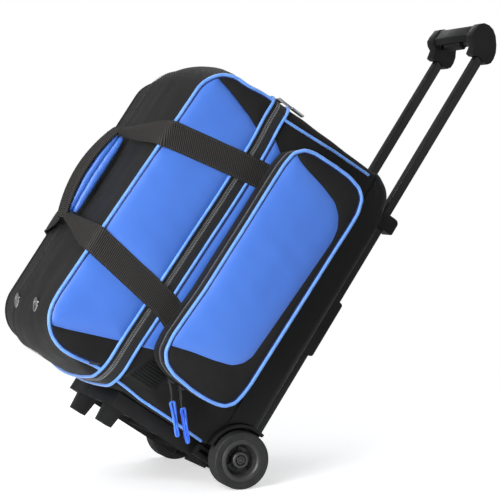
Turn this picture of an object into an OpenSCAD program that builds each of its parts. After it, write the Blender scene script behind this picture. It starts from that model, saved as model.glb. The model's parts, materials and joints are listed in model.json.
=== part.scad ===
// Two-ball roller bowling bag with a telescoping trolley handle.
// Frame: origin at the middle of the wheel axle line, +Z up along the trolley
// tubes when the bag stands, +X towards the trolley side, -X towards the lid
// and carry handle, -Y towards the front pocket.

/* [Body] */
// Half width of the bag body, front to back
half_w = 141; // [125:1:160]
// Lower end of the soft body
body_z0 = -6; // [-12:1:0]
// Upper end of the soft body
body_z1 = 504; // [480:1:540]
// Fabric and foam wall thickness
wall = 4; // [3:0.5:6]
// Position of the main zipper line
zip_x = -247; // [-260:1:-220]
// Width of the zipper tape band on the body side
zip_half = 18.5; // [9:0.5:22]
// Width of the zipper tape band on the lid side
zip_lid = 11.5; // [9:0.5:24]
// Outer face of the lid
lid_x = -384; // [-410:1:-360]
// Corner radius of the lid seen from the front
lid_r = 55; // [30:1:70]
// Corner radius of the lid seen from above
lid_c = 17; // [8:1:24]

/* [Base] */
// Outer face of the moulded base tray
tray_x = 7; // [4:0.5:12]
// Tray wall thickness
tray_t = 3; // [2:0.5:4]
// Depth of the tray skirt round the body
skirt = 50; // [30:1:70]
// Corner radius of the tray at the top end
tray_r = 40; // [20:1:55]

/* [Wheels] */
// Wheel radius
wheel_r = 45; // [38:0.5:51]
// Wheel width
wheel_w = 33; // [25:0.5:40]
// Outer face of each wheel from the middle plane
wheel_y = 164.8; // [155:0.5:175]
// Axle bolt radius
axle_r = 4; // [3:0.5:6]
// Number of tread grooves
grooves = 9; // [5:1:12]

/* [Trolley] */
// Outside size of the square sliding tube
tube = 16; // [14:0.5:20]
// Tube spacing from the middle plane
tube_y = 69; // [55:1:85]
// Tube centre behind the axle line
tube_x = 33.7; // [30:0.1:40]
// Top of the fixed outer tubes
rail_top = 462; // [430:1:480]
// Top of the sliding tubes when extended
tube_top = 820; // [780:1:860]
// Length of the sliding tubes
tube_len = 520; // [450:1:540]

/* [Pocket] */
// Depth of the fixed pocket gusset
pocket_d = 30; // [20:1:40]
// Outer face of the pocket flap from the middle plane
pocket_y = 197; // [180:1:210]

/* [Handles] */
// Webbing width
web_w = 43; // [38:1:50]
// Leg length below the end frame
leg_z = -61.7; // [-70:0.1:-50]

/* [Hidden] */
$fn = 48;
gap = 0.1;
// +X face of the soft body, just inside the tray
body_x1 = tray_x - tray_t - gap;
// Heights clear of the body, for clipping boxes
clip_z0 = -60;
clip_z1 = 600;

mould_black = [0.05, 0.05, 0.055];
fabric_black = [0.045, 0.045, 0.05];
web_black = [0.06, 0.06, 0.06];
tape_black = [0.03, 0.03, 0.03];
coil_grey = [0.10, 0.10, 0.11];
panel_blue = [0.16, 0.36, 0.83];
piping_blue = [0.35, 0.58, 0.95];
cord_blue = [0.12, 0.35, 0.95];
pull_silver = [0.72, 0.72, 0.74];

// ---- helpers -------------------------------------------------------------
function arc(x, y, radius, from, to, steps = 8) =
  [for (i = [0:steps]) let (angle = from + (to - from) * i / steps)
    [x + radius * cos(angle), y + radius * sin(angle)]];
// Rounded rectangle, radii at (x0,y0), (x1,y0), (x1,y1), (x0,y1); 0 is a sharp corner
function rounded(x0, x1, y0, y1, r) = concat(
  r[0] > 0 ? arc(x0 + r[0], y0 + r[0], r[0], 180, 270) : [[x0, y0]],
  r[1] > 0 ? arc(x1 - r[1], y0 + r[1], r[1], 270, 360) : [[x1, y0]],
  r[2] > 0 ? arc(x1 - r[2], y1 - r[2], r[2], 0, 90) : [[x1, y1]],
  r[3] > 0 ? arc(x0 + r[3], y1 - r[3], r[3], 90, 180) : [[x0, y1]]);
// Outline in X-Z, thick along Y
module slab(outline, y0, y1) {
  translate([0, y1, 0]) rotate([90, 0, 0]) linear_extrude(height = y1 - y0) polygon(outline);
}
// Outline in X-Y, thick along Z
module post(outline, z0, z1) {
  translate([0, 0, z0]) linear_extrude(height = z1 - z0) polygon(outline);
}
module box(x0, x1, y0, y1, z0, z1) {
  translate([x0, y0, z0]) cube([x1 - x0, y1 - y0, z1 - z0]);
}
// Box centred on y along Y
module block(x0, x1, y, half, z0, z1) {
  box(x0, x1, y - half, y + half, z0, z1);
}
// Cylinders lying along Y and along X
module ycyl(radius, y0, y1, x = 0, z = 0) {
  translate([x, y0, z]) rotate([-90, 0, 0]) cylinder(r = radius, h = y1 - y0);
}
module xcyl(radius, x0, x1, y = 0, z = 0) {
  translate([x0, y, z]) rotate([0, 90, 0]) cylinder(r = radius, h = x1 - x0);
}
module both_sides() {
  children();
  mirror([0, 1, 0]) children();
}
// Soft body between x0 and x1, grown outwards by grow
module envelope(grow, x0, x1) {
  lid_side = lid_x - grow;
  tray_side = body_x1 + grow;
  side = half_w + grow;
  end_r = lid_r + grow;
  edge_r = lid_c + grow;
  intersection() {
    slab(rounded(lid_side, tray_side, body_z0 - grow, body_z1 + grow, [end_r, 14, 36, end_r]),
         -side, side);
    post(rounded(lid_side, tray_side, -side, side, [edge_r, 4, 4, edge_r]),
         body_z0 - 20, body_z1 + 20);
    block(x0, x1, 0, half_w + 30, body_z0 - 20, body_z1 + 20);
  }
}
// Ring of the envelope between two growths
module band(inner, outer, x0, x1) {
  difference() {
    envelope(outer, x0, x1);
    envelope(inner, x0 - 5, x1 + 5);
  }
}
// Same ring, left open on the +Y side
module open_band(inner, outer, x0, x1) {
  difference() {
    band(inner, outer, x0, x1);
    box(x0 - 9, x1 + 9, half_w - 3, half_w + 30, clip_z0, clip_z1);
  }
}
module wheel_wells(radius, inner_y) {
  both_sides() ycyl(radius, inner_y, 190);
}

// ---- moulded base --------------------------------------------------------
tray_z0 = -34;
tray_z1 = 510;
frame_x0 = -212;
frame_y = 112;
frame_t = 3;
// Underside of the frame plate
plate_z = -13.5;
fender_y = 112.5;
// Inner face of the axle brackets, and the step where they clear the wheel
bracket_y = 119.1;
boss_y = 129.2;
bore = axle_r + 0.05;
// Half width of the trolley foot plates
foot_half = 24;
// Screws through the foot plates: heights, and offset each side of the tube
lower_screws = [-14, 30];
skid_screws = [225, 290];
top_screws = [447, 480];
all_screws = concat(lower_screws, skid_screws, top_screws);
screw_offset = 19;

module at_screws(heights) {
  for (side = [-1, 1], z = heights, offset = [-screw_offset, screw_offset])
    translate([0, side * tube_y + offset, z]) children();
}
module shank_holes(heights, end_x = 20) {
  at_screws(heights) xcyl(2.05, 0, end_x);
}
module base_tray() color(mould_black) {
  tray_y = half_w + tray_t;
  inner_x = tray_x - tray_t;
  difference() {
    slab(rounded(tray_x - skirt, tray_x, tray_z0, tray_z1, [4, 10, tray_r, 6]),
         -tray_y, tray_y);
    slab(rounded(tray_x - skirt - 9, inner_x, tray_z0 + tray_t, tray_z1 - tray_t,
                 [0, 6, tray_r - tray_t, 0]), -half_w, half_w);
    // Opening for the end frame
    block(-60, inner_x, 0, frame_y + 0.5, -40, -8.9);
    wheel_wells(56, 112);
    shank_holes(all_screws, 12);
  }
}
// Shallow frame open downwards, with crossing ribs
module end_frame() color([0.07, 0.07, 0.075]) {
  inner_y = frame_y - frame_t;
  difference() {
    block(frame_x0, body_x1, 0, frame_y, tray_z0, -10);
    block(frame_x0 + frame_t, body_x1 - frame_t, 0, inner_y, -35, plate_z);
    for (side = [-1, 1]) block(0.5, 12, side * tube_y, foot_half, -40, -5);
  }
  for (x = [-150, -95, -40]) block(x, x + 2.5, 0, inner_y - gap, -30, plate_z);
  for (y = [-30, 30]) block(-208.9, 0.8, y, 1.2, -26, plate_z);
}
// Tapered legs with a recess in each foot
module stand_legs() color(mould_black) {
  both_sides() difference() {
    hull() {
      block(-207.5, -177, tube_y, 16, -13.7, -13.6);
      block(-204.6, -182.5, tube_y, 12, leg_z, leg_z + 0.1);
    }
    block(-199, -187, tube_y, 7, leg_z - 1, leg_z + 8);
  }
}
// Curved guard over each wheel, with a web that holds the axle
module wheel_fenders() color([0.09, 0.09, 0.095]) {
  both_sides() difference() {
    union() {
      slab(concat(arc(0, 0, 55, 74, 185, 20), arc(0, 0, 50, 185, 74, 20)), fender_y, 153);
      slab(concat(arc(0, 0, 52.5, 75, 184, 20), [[-20, -15], [20, -15], [28, 8]]), 115, 119);
    }
    ycyl(bore, 100, 160);
  }
}
module axle_brackets() color([0.08, 0.08, 0.085]) both_sides() {
  difference() {
    union() {
      ycyl(12, bracket_y, 131);
      box(-62, -8, bracket_y, 129, -30, -22);
      box(-62, -8, bracket_y, 129, -16, -11);
      box(-62, -56, bracket_y, 129, -24, -15);
      slab([[-30, -28], [-8, -28], [6, -10], [-6, 8], [-12, 8]], bracket_y, 123);
    }
    ycyl(bore, 100, 160);
    ycyl(46.5, boss_y, 190);
  }
  // Boss reaching to the hub
  difference() {
    ycyl(12, boss_y, 131.4);
    ycyl(bore, 100, 160);
  }
}
module axle_bolts() color([0.62, 0.62, 0.64]) both_sides() {
  ycyl(axle_r, 112.2, 158);
  ycyl(7, 112.2, 114.9);
}
module axle_nuts() color([0.3, 0.3, 0.32]) both_sides() difference() {
  translate([0, 154.2, 0]) rotate([-90, 0, 0]) cylinder(r = 7.2, h = 5, $fn = 6);
  ycyl(axle_r + 0.02, 150, 170);
}

// ---- wheels --------------------------------------------------------------
wheel_inner_y = wheel_y - wheel_w;
rim_r = 33;
tyre_bore = rim_r + 0.02;
shoulder_r = 43.4;
groove_depth = 1.4;
// Plain tread left at each edge
tread_edge = 2;
groove_pitch = (wheel_w - 2 * tread_edge) / grooves;
// Columns: radius, distance outwards from the inner face of the wheel
hub_section = [
  [bore, 1], [16, 1], [16, 0], [rim_r, 0], [rim_r, wheel_w - 1], [31, wheel_w],
  [27.5, wheel_w], [25, wheel_w - 2.5], [22.5, 15], [20, 12], [14.5, 11.5], [13.2, 12.5],
  [12.8, wheel_w - 6], [11.6, wheel_w - 5], [bore, wheel_w - 5]];
function groove(i) = let (y = tread_edge + groove_pitch * (i + 0.5), floor_r = wheel_r - groove_depth)
  [[wheel_r, y - 0.7], [floor_r, y - 0.5], [floor_r, y + 0.5], [wheel_r, y + 0.7]];
tyre_section = concat(
  [[tyre_bore, 0.6], [shoulder_r, 0.6], [wheel_r, tread_edge]],
  [for (i = [0:grooves - 1]) each groove(i)],
  [[wheel_r, wheel_w - tread_edge], [shoulder_r, wheel_w], [tyre_bore, wheel_w - 1]]);

// Section turned round the +Y end of the axle
module turned(section, facets) {
  translate([0, wheel_inner_y, 0]) rotate([-90, 0, 0])
    rotate_extrude($fn = facets) polygon(section);
}
module hub() {
  difference() {
    union() {
      turned(hub_section, 72);
      for (angle = [0:60:300]) rotate([0, angle, 0])
        box(13, 21.5, wheel_inner_y + 11, wheel_inner_y + 15.5, -1.2, 1.2);
    }
    // Nut recess
    ycyl(8.6, 154, 170);
  }
}
module left_hub() color([0.10, 0.10, 0.105]) mirror([0, 1, 0]) hub();
module right_hub() color([0.10, 0.10, 0.105]) hub();
module left_tyre() color([0.14, 0.14, 0.15]) mirror([0, 1, 0]) turned(tyre_section, 96);
module right_tyre() color([0.14, 0.14, 0.15]) turned(tyre_section, 96);

// ---- trolley -------------------------------------------------------------
// Outside size of the fixed outer tubes
rail = 19.5;
rail_bottom = -20;
// Two tube wall thicknesses
two_walls = 2.4;
tube_bottom = tube_top - tube_len;
// Outer face of the foot plates
foot_x = tray_x + 3.5;
grip_screw_z = 808;

module tube_pair(size, z0, z1) {
  for (side = [-1, 1])
    block(tube_x - size / 2, tube_x + size / 2, side * tube_y, size / 2, z0, z1);
}
module foot_plates(z0, z1) {
  for (side = [-1, 1]) block(tray_x + gap, foot_x, side * tube_y, foot_half, z0, z1);
}
// Outline in X-Z at both tubes, centred on each tube
module tube_slabs(outline, half) {
  for (side = [-1, 1]) slab(outline, side * tube_y - half, side * tube_y + half);
}
module outer_tubes() color([0.04, 0.04, 0.045]) difference() {
  tube_pair(rail, rail_bottom, rail_top);
  tube_pair(rail - two_walls, rail_bottom - 1, rail_top + 1);
}
module top_collars() color([0.06, 0.06, 0.065]) difference() {
  union() {
    foot_plates(440, 488);
    for (side = [-1, 1]) block(foot_x, 24, side * tube_y, 9, 452, 476);
    tube_slabs(rounded(21, 58, 450, 477, [3, 3, 8, 2]), 14.5);
  }
  tube_pair(rail + 0.1, 440, rail_top + 0.1);
  tube_pair(tube + 0.3, 430, 490);
  shank_holes(top_screws);
}
module skid_brackets() color(mould_black) difference() {
  union() {
    foot_plates(215, 300);
    tube_slabs(rounded(foot_x, 48, 208, 309, [0, 5, 5, 0]), 13);
  }
  tube_pair(rail + 0.1, 200, 320);
  shank_holes(skid_screws);
}
module lower_brackets() color(mould_black) difference() {
  union() {
    foot_plates(-24, 40);
    tube_slabs(rounded(foot_x, 47, -28, 34, [0, 8, 6, 0]), 13);
  }
  tube_pair(rail + 0.1, rail_bottom - 0.1, 50);
  shank_holes(lower_screws);
}
// Screws with a cross slot in the head
module bracket_screws() color([0.2, 0.2, 0.21]) {
  slot_x0 = tray_x + 4.9;
  slot_x1 = tray_x + 7;
  at_screws(all_screws) difference() {
    union() {
      xcyl(2, tray_x - 2.6, tray_x + 3.6);
      xcyl(4, tray_x + 3.55, tray_x + 5.8);
    }
    block(slot_x0, slot_x1, 0, 2.6, -0.45, 0.45);
    block(slot_x0, slot_x1, 0, 0.45, -2.6, 2.6);
  }
}
module inner_tubes() color([0.03, 0.03, 0.035]) difference() {
  tube_pair(tube, tube_bottom, tube_top);
  tube_pair(tube - two_walls, tube_bottom - 1, tube_top + 1);
}
// Guides below the sliding tubes, with plugs up into them
module slide_shoes() color([0.35, 0.35, 0.36]) {
  tube_pair(rail - 2.6, tube_bottom - 14, tube_bottom - 0.05);
  tube_pair(tube - 2.6, tube_bottom - 0.1, tube_bottom + 12);
}
// Grip outlines, columns: x, z
cheek_outline = [
  [-2, 822], [0, 838], [6, 843.5], [16, 846], [26, 844.5], [36, 838], [46, 826], [52, 815],
  [54.5, 804], [54, 795], [50, 789.5], [42, 788], [29, 791], [22, 787.5], [15, 788],
  [13.5, 796], [12, 803], [4, 807], [-1.5, 813]];
bar_outline = [
  [-1.5, 816], [0.5, 836], [6, 841.5], [15, 843.5], [24, 842], [30, 835], [30.5, 822],
  [26, 813], [18, 808.5], [6, 808.5]];
module grip_cheeks() color(mould_black) difference() {
  both_sides() slab(cheek_outline, 58.05, 79.5);
  tube_pair(tube + 0.1, 780, tube_top + 0.05);
  for (side = [-1, 1]) xcyl(1.6, tube_x + 5, 70, side * tube_y, grip_screw_z);
}
module grip_bar() color([0.04, 0.04, 0.045]) difference() {
  slab(bar_outline, -58, 58);
  // Button recess
  block(6.8, 23.2, 0, 26.2, 800, 826);
  // Slanted grooves along the top
  for (x = [1.5, 9, 16.5])
    slab([[x - 4, 836], [x - 2.2, 836], [x + 4, 846], [x + 2, 846]], -54, 54);
}
module grip_screws() color([0.25, 0.25, 0.26]) {
  for (side = [-1, 1]) xcyl(1.55, tube_x + 8.3, 49, side * tube_y, grip_screw_z);
}
module release_button() color([0.16, 0.16, 0.17]) {
  slab(rounded(7, 23, 803.5, 821, [4, 4, 0, 0]), -26, 26);
}
module push_rods() color([0.6, 0.6, 0.62]) {
  for (side = [-1, 1]) translate([tube_x, side * tube_y, 330]) cylinder(r = 2, h = 482);
}

// ---- soft body -----------------------------------------------------------
// -X side of the base board, where the cups and divider stand
cup_base_x = -4.3;
cup_heights = [125, 373];
cup_half = 92;
// Inner side of the flat patches, just inside the -Y face
patch_y = -half_w + 0.15;

// Hollow of the soft body between x0 and x1, also cut off at wall_x0 and wall_x1
module hollow(x0, x1, wall_x0, wall_x1) {
  intersection() {
    block(x0, x1, 0, half_w - wall, body_z0 + wall, body_z1 - wall);
    envelope(-wall, wall_x0, wall_x1);
  }
}
module lower_shell() color(fabric_black) difference() {
  envelope(-0.2, zip_x + zip_half, 10);
  hollow(zip_x, tray_x - 8, zip_x - 5, 10);
  wheel_wells(56.5, 110);
}
module base_board() color([0.15, 0.15, 0.16]) block(-4.2, -1.2, 0, 104, 12, 468);
module ball_cups() color([0.12, 0.12, 0.125]) {
  for (z = cup_heights) difference() {
    block(-24, cup_base_x, 0, cup_half, z - cup_half, z + cup_half);
    translate([-124, 0, z]) sphere(r = 109.5, $fn = 64);
    xcyl(28, -30, 10, 0, z);
  }
}
module cup_pads() color([0.2, 0.2, 0.21]) {
  for (z = cup_heights) xcyl(27.5, -8, -4.4, 0, z);
}
module divider() color([0.13, 0.13, 0.14]) block(-210, cup_base_x, 0, 136.5, 244, 254);
// Patch outlines, columns: x, z
strip_outline = [
  [-221.5, 106], [-213, 104], [-209, 76], [-210.5, 430], [-208.8, 436], [-221.5, 446]];
vent_outline = [
  [-220, 14], [-172, 14], [-172, 33], [-190, 40], [-203, 52], [-209, 66], [-220, 50]];
module front_strip() color(panel_blue) slab(strip_outline, -half_w - 1.2, patch_y);
module vent_patch() color([0.07, 0.07, 0.075]) slab(vent_outline, -half_w - 1.4, patch_y);

// Main zipper: tape, coil and piping on each side of the zipper line
body_edge = zip_x + zip_half;
lid_edge = zip_x - zip_lid;
module zip_tape_body() color(tape_black) band(-1.6, 0, zip_x + 0.3, body_edge - 0.1);
module zip_tape_lid() color(tape_black) band(-1.6, 0, lid_edge + 0.1, zip_x - 0.3);
module zip_coil_body() color(coil_grey) open_band(0.02, 1.2, zip_x + 0.3, zip_x + 2.6);
module zip_coil_lid() color(coil_grey) open_band(0.02, 1.2, zip_x - 2.6, zip_x - 0.3);
module zip_piping_body() color(piping_blue) open_band(0.02, 2.4, body_edge - 3, body_edge + 1);
module zip_piping_lid() color(piping_blue) open_band(0.02, 2.4, lid_edge - 1.4, lid_edge + 2.6);

// ---- pocket --------------------------------------------------------------
pocket_x0 = -208;
pocket_x1 = -66;
pocket_z0 = 45;
pocket_z1 = 458;
pocket_r = 32;
pocket_wall = 3;
// Outer edge of the gusset
gusset_y = -half_w - pocket_d;
// Columns: x, z
pocket_panel_outline = [
  [pocket_x0 + 2.2, 86], [-179, 93], [-143, 101], [-112, 110], [-98, 122], [-90, 138],
  [-76, 352], [-78, 376], [-88, 397], [-106, 410], [-136, 419], [-173, 427], [-188, 432],
  [-196, 436], [pocket_x0 + 2.2, 424]];

function pocket_outline(grow) =
  rounded(pocket_x0 - grow, pocket_x1 + grow, pocket_z0 - grow, pocket_z1 + grow,
          [for (i = [0:3]) pocket_r + grow]);
module pocket_ring(inner, outer, y0, y1) {
  difference() {
    slab(pocket_outline(outer), y0, y1);
    slab(pocket_outline(inner), y0 - 1, y1 + 1);
  }
}
module pocket_gusset() color(mould_black)
  pocket_ring(-pocket_wall, 0, gusset_y, -half_w - 0.05);
// Zipper round the gusset, open on the +X side
module pocket_zip() color(tape_black) difference() {
  pocket_ring(0.02, 1.1, gusset_y, gusset_y + 5);
  box(pocket_x1 - 1, pocket_x1 + 10, -220, -100, 0, 500);
}
module pocket_flap() color(mould_black) {
  pocket_ring(-pocket_wall, 0, -pocket_y, gusset_y - 0.6);
  slab(pocket_outline(-pocket_wall), -pocket_y, -pocket_y + 4);
}
module pocket_panel() color(panel_blue)
  slab(pocket_panel_outline, -pocket_y - 1.5, -pocket_y - 0.02);
module pocket_piping() color(piping_blue)
  pocket_ring(-2, 2, -pocket_y - 3, -pocket_y - 0.02);

// ---- lid -----------------------------------------------------------------
// How far the piping stands out round the lid's upright corners
piping_out = 2.3;
// Columns: x, z
lid_panel_outline = [
  [lid_x + 5, 46], [lid_x + 7.5, 34], [-368.5, 19.5], [-343, 25], [-302, 40], [-268, 52],
  [-264, 53.5], [-264, 448.5], [-279, 454], [-308, 463], [-331, 469], [-351, 474],
  [-362, 486], [-371, 474], [lid_x + 7.5, 464], [lid_x + 5, 452]];
// Columns: radius, height above the lid surface
eyelet_section = [[6, 0.25], [12.3, 0.25], [12, 1.2], [9.5, 2], [6.8, 1.8]];

module lid_shell() color(fabric_black) difference() {
  envelope(-0.2, lid_x - 10, lid_edge);
  hollow(lid_x + wall, zip_x, lid_x - 10, zip_x + 5);
}
module lid_pad() color([0.12, 0.12, 0.13])
  block(lid_x + wall + gap, lid_x + wall + 7, 0, half_w - 20, body_z0 + 60, body_z1 - 60);
// Panel on the flat of the -Y face, clipped short of the rounded corner
module lid_panel() color(panel_blue) intersection() {
  slab(lid_panel_outline, -half_w - 1.3, patch_y);
  box(lid_x + lid_c + 1, -200, -half_w - 5, -half_w + 5, clip_z0, clip_z1);
}
// Piping round the -Y edge of the lid
module lid_piping() color(piping_blue) difference() {
  outer_r = lid_r + 1;
  inner_r = lid_r - 4;
  side = half_w + piping_out;
  corner = lid_c + piping_out;
  intersection() {
    difference() {
      slab(rounded(lid_x - 2, -220, body_z0, body_z1, [outer_r, 14, 14, outer_r]),
           -half_w - 2.4, -half_w + 9);
      slab(rounded(lid_x + 5, -220, body_z0 + 4, body_z1 - 4, [inner_r, 10, 10, inner_r]),
           -half_w - 9, -half_w + 19);
    }
    post(rounded(lid_x - piping_out, -200, -side, side, [corner, 0, 0, corner]),
         clip_z0, clip_z1);
    box(lid_x - 3, lid_edge - 1.5, -200, 0, clip_z0, clip_z1);
  }
  envelope(0.05, lid_x - 10, zip_x);
}
// Eyelets on the rounded lower edge of the lid
module eyelets() color([0.75, 0.75, 0.77])
  for (y = [-64, 58]) translate([lid_x + lid_r, y, body_z0 + lid_r]) rotate([0, -11, 0])
    translate([-lid_r, 0, 0]) rotate([0, -90, 0])
      rotate_extrude($fn = 48) polygon(eyelet_section);

// ---- webbing and carry handles -------------------------------------------
// Strap centre heights at: the pocket, the zipper, the lid edge, the grip
strap_rows = [[125, 137, 160, 184], [390, 386, 355, 341]];
// Faces of the webbing on the -Y side
strap_inner = -half_w - 2.6;
strap_outer = strap_inner - 1.8;
grip_z0 = 186;
grip_len = 153;
grip_x = -394;
// Grip seen from above, columns: x, y
grip_section = [
  [grip_x, -6], [-399, -18], [-408, -21.5], [-420, -20], [-429, -12], [-432, -0.6],
  [grip_x, -0.6]];

// Webbing between two centre points in X-Z
module web(x0, z0, x1, z1, y0 = strap_outer, y1 = strap_inner, width = web_w) {
  half = width / 2;
  slab([[x0, z0 - half], [x1, z1 - half], [x1, z1 + half], [x0, z0 + half]], y0, y1);
}
module fixed_straps() color(web_black) {
  start_x = zip_x + 15.2;
  for (row = strap_rows) {
    web(start_x, row[1] + (row[0] - row[1]) * 0.2, pocket_x0 - 3.4, row[0]);
    mirror([0, 1, 0]) web(start_x, row[1], -60, row[1]);
  }
}
// Stitched rectangles at the ends of the +Y straps
module strap_tacks() color([0.1, 0.1, 0.1])
  for (row = strap_rows) mirror([0, 1, 0]) difference() {
    web(-95, row[1], -63, row[1], strap_inner - 2.4, strap_inner - 1.82, 34);
    web(-92, row[1], -66, row[1], strap_inner - 5, strap_inner, 28);
  }
// Straps across the lid side, then drawn in to the grip
module free_straps() {
  half = web_w / 2;
  for (row = strap_rows) {
    edge_z = row[2];
    web(zip_x + 15, row[1], lid_x - 3, edge_z);
    hull() {
      box(lid_x - 5, lid_x - 3.02, strap_outer, strap_inner + 4, edge_z - half, edge_z + half);
      box(lid_x - 26, lid_x - 24, -24, -22, row[3] - 8, row[3] + 8);
    }
  }
}
// -Y half of the grip, flat towards the lid and bowed outwards
module hand_grip() {
  steps = 12;
  bowed = concat(
    [for (i = [0:steps]) [grip_x, grip_z0 + grip_len * i / steps]],
    [for (i = [steps:-1:0]) [-404 - 27 * sin(180 * i / steps), grip_z0 + grip_len * i / steps]]);
  intersection() {
    slab(bowed, -21.5, -0.6);
    post(grip_section, 180, 350);
  }
}
module front_straps() color(web_black) free_straps();
module rear_straps() color(web_black) mirror([0, 1, 0]) free_straps();
module front_grip() color(panel_blue) hand_grip();
module rear_grip() color(mould_black) mirror([0, 1, 0]) hand_grip();

// ---- zipper sliders and pulls --------------------------------------------
// Radii of the pull pins and of the holes they sit in
pin_r = 1.04;
pin_hole_r = 1.1;
main_pin_x = zip_x + 2.5;
main_pin_z = body_z1 + 5.8;
pocket_slider_y = gusset_y - 0.5;
pocket_pin_z = pocket_z0 - 6;
slider_a_x = -173;
slider_b_x = -153;

module main_slider() color(pull_silver) {
  base_z = body_z1 + 1.6;
  lug_z = base_z + 2.6;
  box(zip_x - 5, zip_x + 5, -133, -119, base_z, lug_z);
  difference() {
    box(zip_x - 1.5, zip_x + 5, -127.5, -124.5, lug_z, base_z + 6.5);
    ycyl(pin_hole_r, -130, -120, main_pin_x, main_pin_z);
  }
}
module main_pull() color(pull_silver) {
  z = main_pin_z;
  ycyl(pin_r, -129.5, -122.5, main_pin_x, z);
  for (y = [-130.4, -123.6]) box(zip_x + 1.5, zip_x + 27, y, y + 2, z - 1, z + 1);
  box(zip_x + 24, zip_x + 48, -131, -121, z - 1.6, z + 1.6);
}
module pocket_slider(x) {
  lug_z = pocket_z0 - 4;
  block(x - 6, x + 6, pocket_slider_y, 4.2, lug_z, pocket_z0 - 1.4);
  difference() {
    block(x - 2.5, x + 2.5, pocket_slider_y, 1.3, pocket_z0 - 8, lug_z);
    ycyl(pin_hole_r, -200, -150, x, pocket_pin_z);
  }
}
// Two cords hanging at a slant from the pin to a flat tab
module pull_cord(x) {
  translate([x, pocket_slider_y, pocket_pin_z]) rotate([0, -43, 0]) {
    ycyl(pin_r, -3.6, 3.6);
    for (side = [-1, 1]) translate([0, side * 2.8, -34]) cylinder(r = 1.25, h = 34.6);
    translate([-2.6, -4.2, -84]) cube([5.2, 8.4, 52]);
  }
}
module pocket_slider_a() color([0.1, 0.1, 0.1]) pocket_slider(slider_a_x);
module pocket_slider_b() color([0.1, 0.1, 0.1]) pocket_slider(slider_b_x);
module cord_a() color(cord_blue) pull_cord(slider_a_x);
module cord_b() color(cord_blue) pull_cord(slider_b_x);

base_tray();
end_frame();
stand_legs();
wheel_fenders();
axle_brackets();
axle_bolts();
axle_nuts();
left_hub();
right_hub();
left_tyre();
right_tyre();
outer_tubes();
top_collars();
skid_brackets();
lower_brackets();
bracket_screws();
inner_tubes();
slide_shoes();
grip_bar();
grip_cheeks();
grip_screws();
release_button();
push_rods();
lower_shell();
base_board();
ball_cups();
divider();
front_strip();
vent_patch();
zip_tape_body();
zip_coil_body();
zip_piping_body();
pocket_gusset();
pocket_zip();
pocket_flap();
pocket_panel();
pocket_piping();
fixed_straps();
strap_tacks();
lid_shell();
lid_panel();
lid_piping();
zip_tape_lid();
zip_coil_lid();
zip_piping_lid();
eyelets();
front_straps();
front_grip();
rear_straps();
rear_grip();
main_slider();
main_pull();
pocket_slider_a();
pocket_slider_b();
cord_a();
cord_b();
cup_pads();
lid_pad();
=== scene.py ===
"""Soft wheeled case with a moulded base tray, a padded lid and a telescopic trolley handle.

Lengths are in mm unless noted and become metres in the meshes. Z runs up the height of the case.
The lid's padded end and the carry handles face -X, the tray and the trolley tubes are at +X, and
the wheels turn about the Y axis at the origin. The front, with blue panels and the pocket, faces
-Y; the lid hinges on the rear, +Y. "End" 0 is the lower face of the case, end 1 the upper.
"""
import json
import math
import bmesh
import bpy
import numpy as np
from mathutils import Matrix, Vector


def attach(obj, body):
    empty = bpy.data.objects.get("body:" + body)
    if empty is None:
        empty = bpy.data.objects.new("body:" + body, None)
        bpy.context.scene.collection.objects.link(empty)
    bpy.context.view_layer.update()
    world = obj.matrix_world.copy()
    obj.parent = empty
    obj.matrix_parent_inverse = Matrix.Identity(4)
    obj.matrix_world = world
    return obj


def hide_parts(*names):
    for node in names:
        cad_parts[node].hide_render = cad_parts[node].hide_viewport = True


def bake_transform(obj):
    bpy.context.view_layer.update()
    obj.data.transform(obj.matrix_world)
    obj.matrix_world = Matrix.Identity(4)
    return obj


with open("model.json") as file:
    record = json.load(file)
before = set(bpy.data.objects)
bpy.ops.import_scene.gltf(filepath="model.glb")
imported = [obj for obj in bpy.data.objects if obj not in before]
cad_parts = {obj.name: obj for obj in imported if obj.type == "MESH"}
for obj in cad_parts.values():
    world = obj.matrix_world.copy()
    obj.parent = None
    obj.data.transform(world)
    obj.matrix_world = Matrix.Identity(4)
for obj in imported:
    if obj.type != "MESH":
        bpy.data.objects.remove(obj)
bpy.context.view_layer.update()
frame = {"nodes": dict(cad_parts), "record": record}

RECORD = frame["record"]
BODY_OF = {node: body for body, nodes in RECORD["behaviour"]["bodies"].items() for node in nodes}

MM = 0.001
HALF_Y = 141.0                      # half the depth of the case
Z_LOW, Z_TOP = -6.0, 504.0
Z_MID = (Z_LOW + Z_TOP) / 2
LID_X = -384.0                      # outer end of the lid
ZIP_X = -247.0                      # middle of the main zipper
BODY_EDGE, LID_EDGE = -228.5, -258.5        # the two edges of the zipper band
POCKET_Y = -197.0                   # outer face of the pocket
LID_CORNER = 55.0                   # radius of the lid's corners seen from the front
CORNER_CUT = 0.293                  # inset of a rounded corner's middle, as a share of its radius
LID_PUFF, LID_FALLOFF = 5.6, 8      # padding of the lid's middle panel
SEAM_Y = 75                         # cross seam on the lid's gusset
TUBE_X, TUBE_Y = 33.7, 69           # trolley tubes
SIDES = ((-1, "front"), (1, "rear"))

# material and slot of the pieces that repeat
BLUE = dict(mat="blue_coated", slot="blue_fabric")
BLACK = dict(mat="black_polyester", slot="black_fabric")
TAPE = dict(mat="zipper_tape", slot="zip_tape")
COIL = dict(mat="zipper_coil", slot="zip_coil")
BEAD = dict(mat="blue_bead", slot="blue_piping")
# dark navy lines laid in the seam crevices: painted shade
SEAM_SHADE_LOOK = dict(mat="navy_seam_shade", slot="blue_fabric", sides=6)
RIBBED = dict(mat="black_moulding", slot="black_plastic")
FACE_LOOK = {-1: BLUE, 1: BLACK}
PIPING_LOOK = {-1: BEAD, 1: BLACK}

# z of the carry straps: sewn end, zipper, lid corner, grip
STRAPS = {"lo": (125, 137, 160, 184), "hi": (390, 386, 355, 341)}

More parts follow.
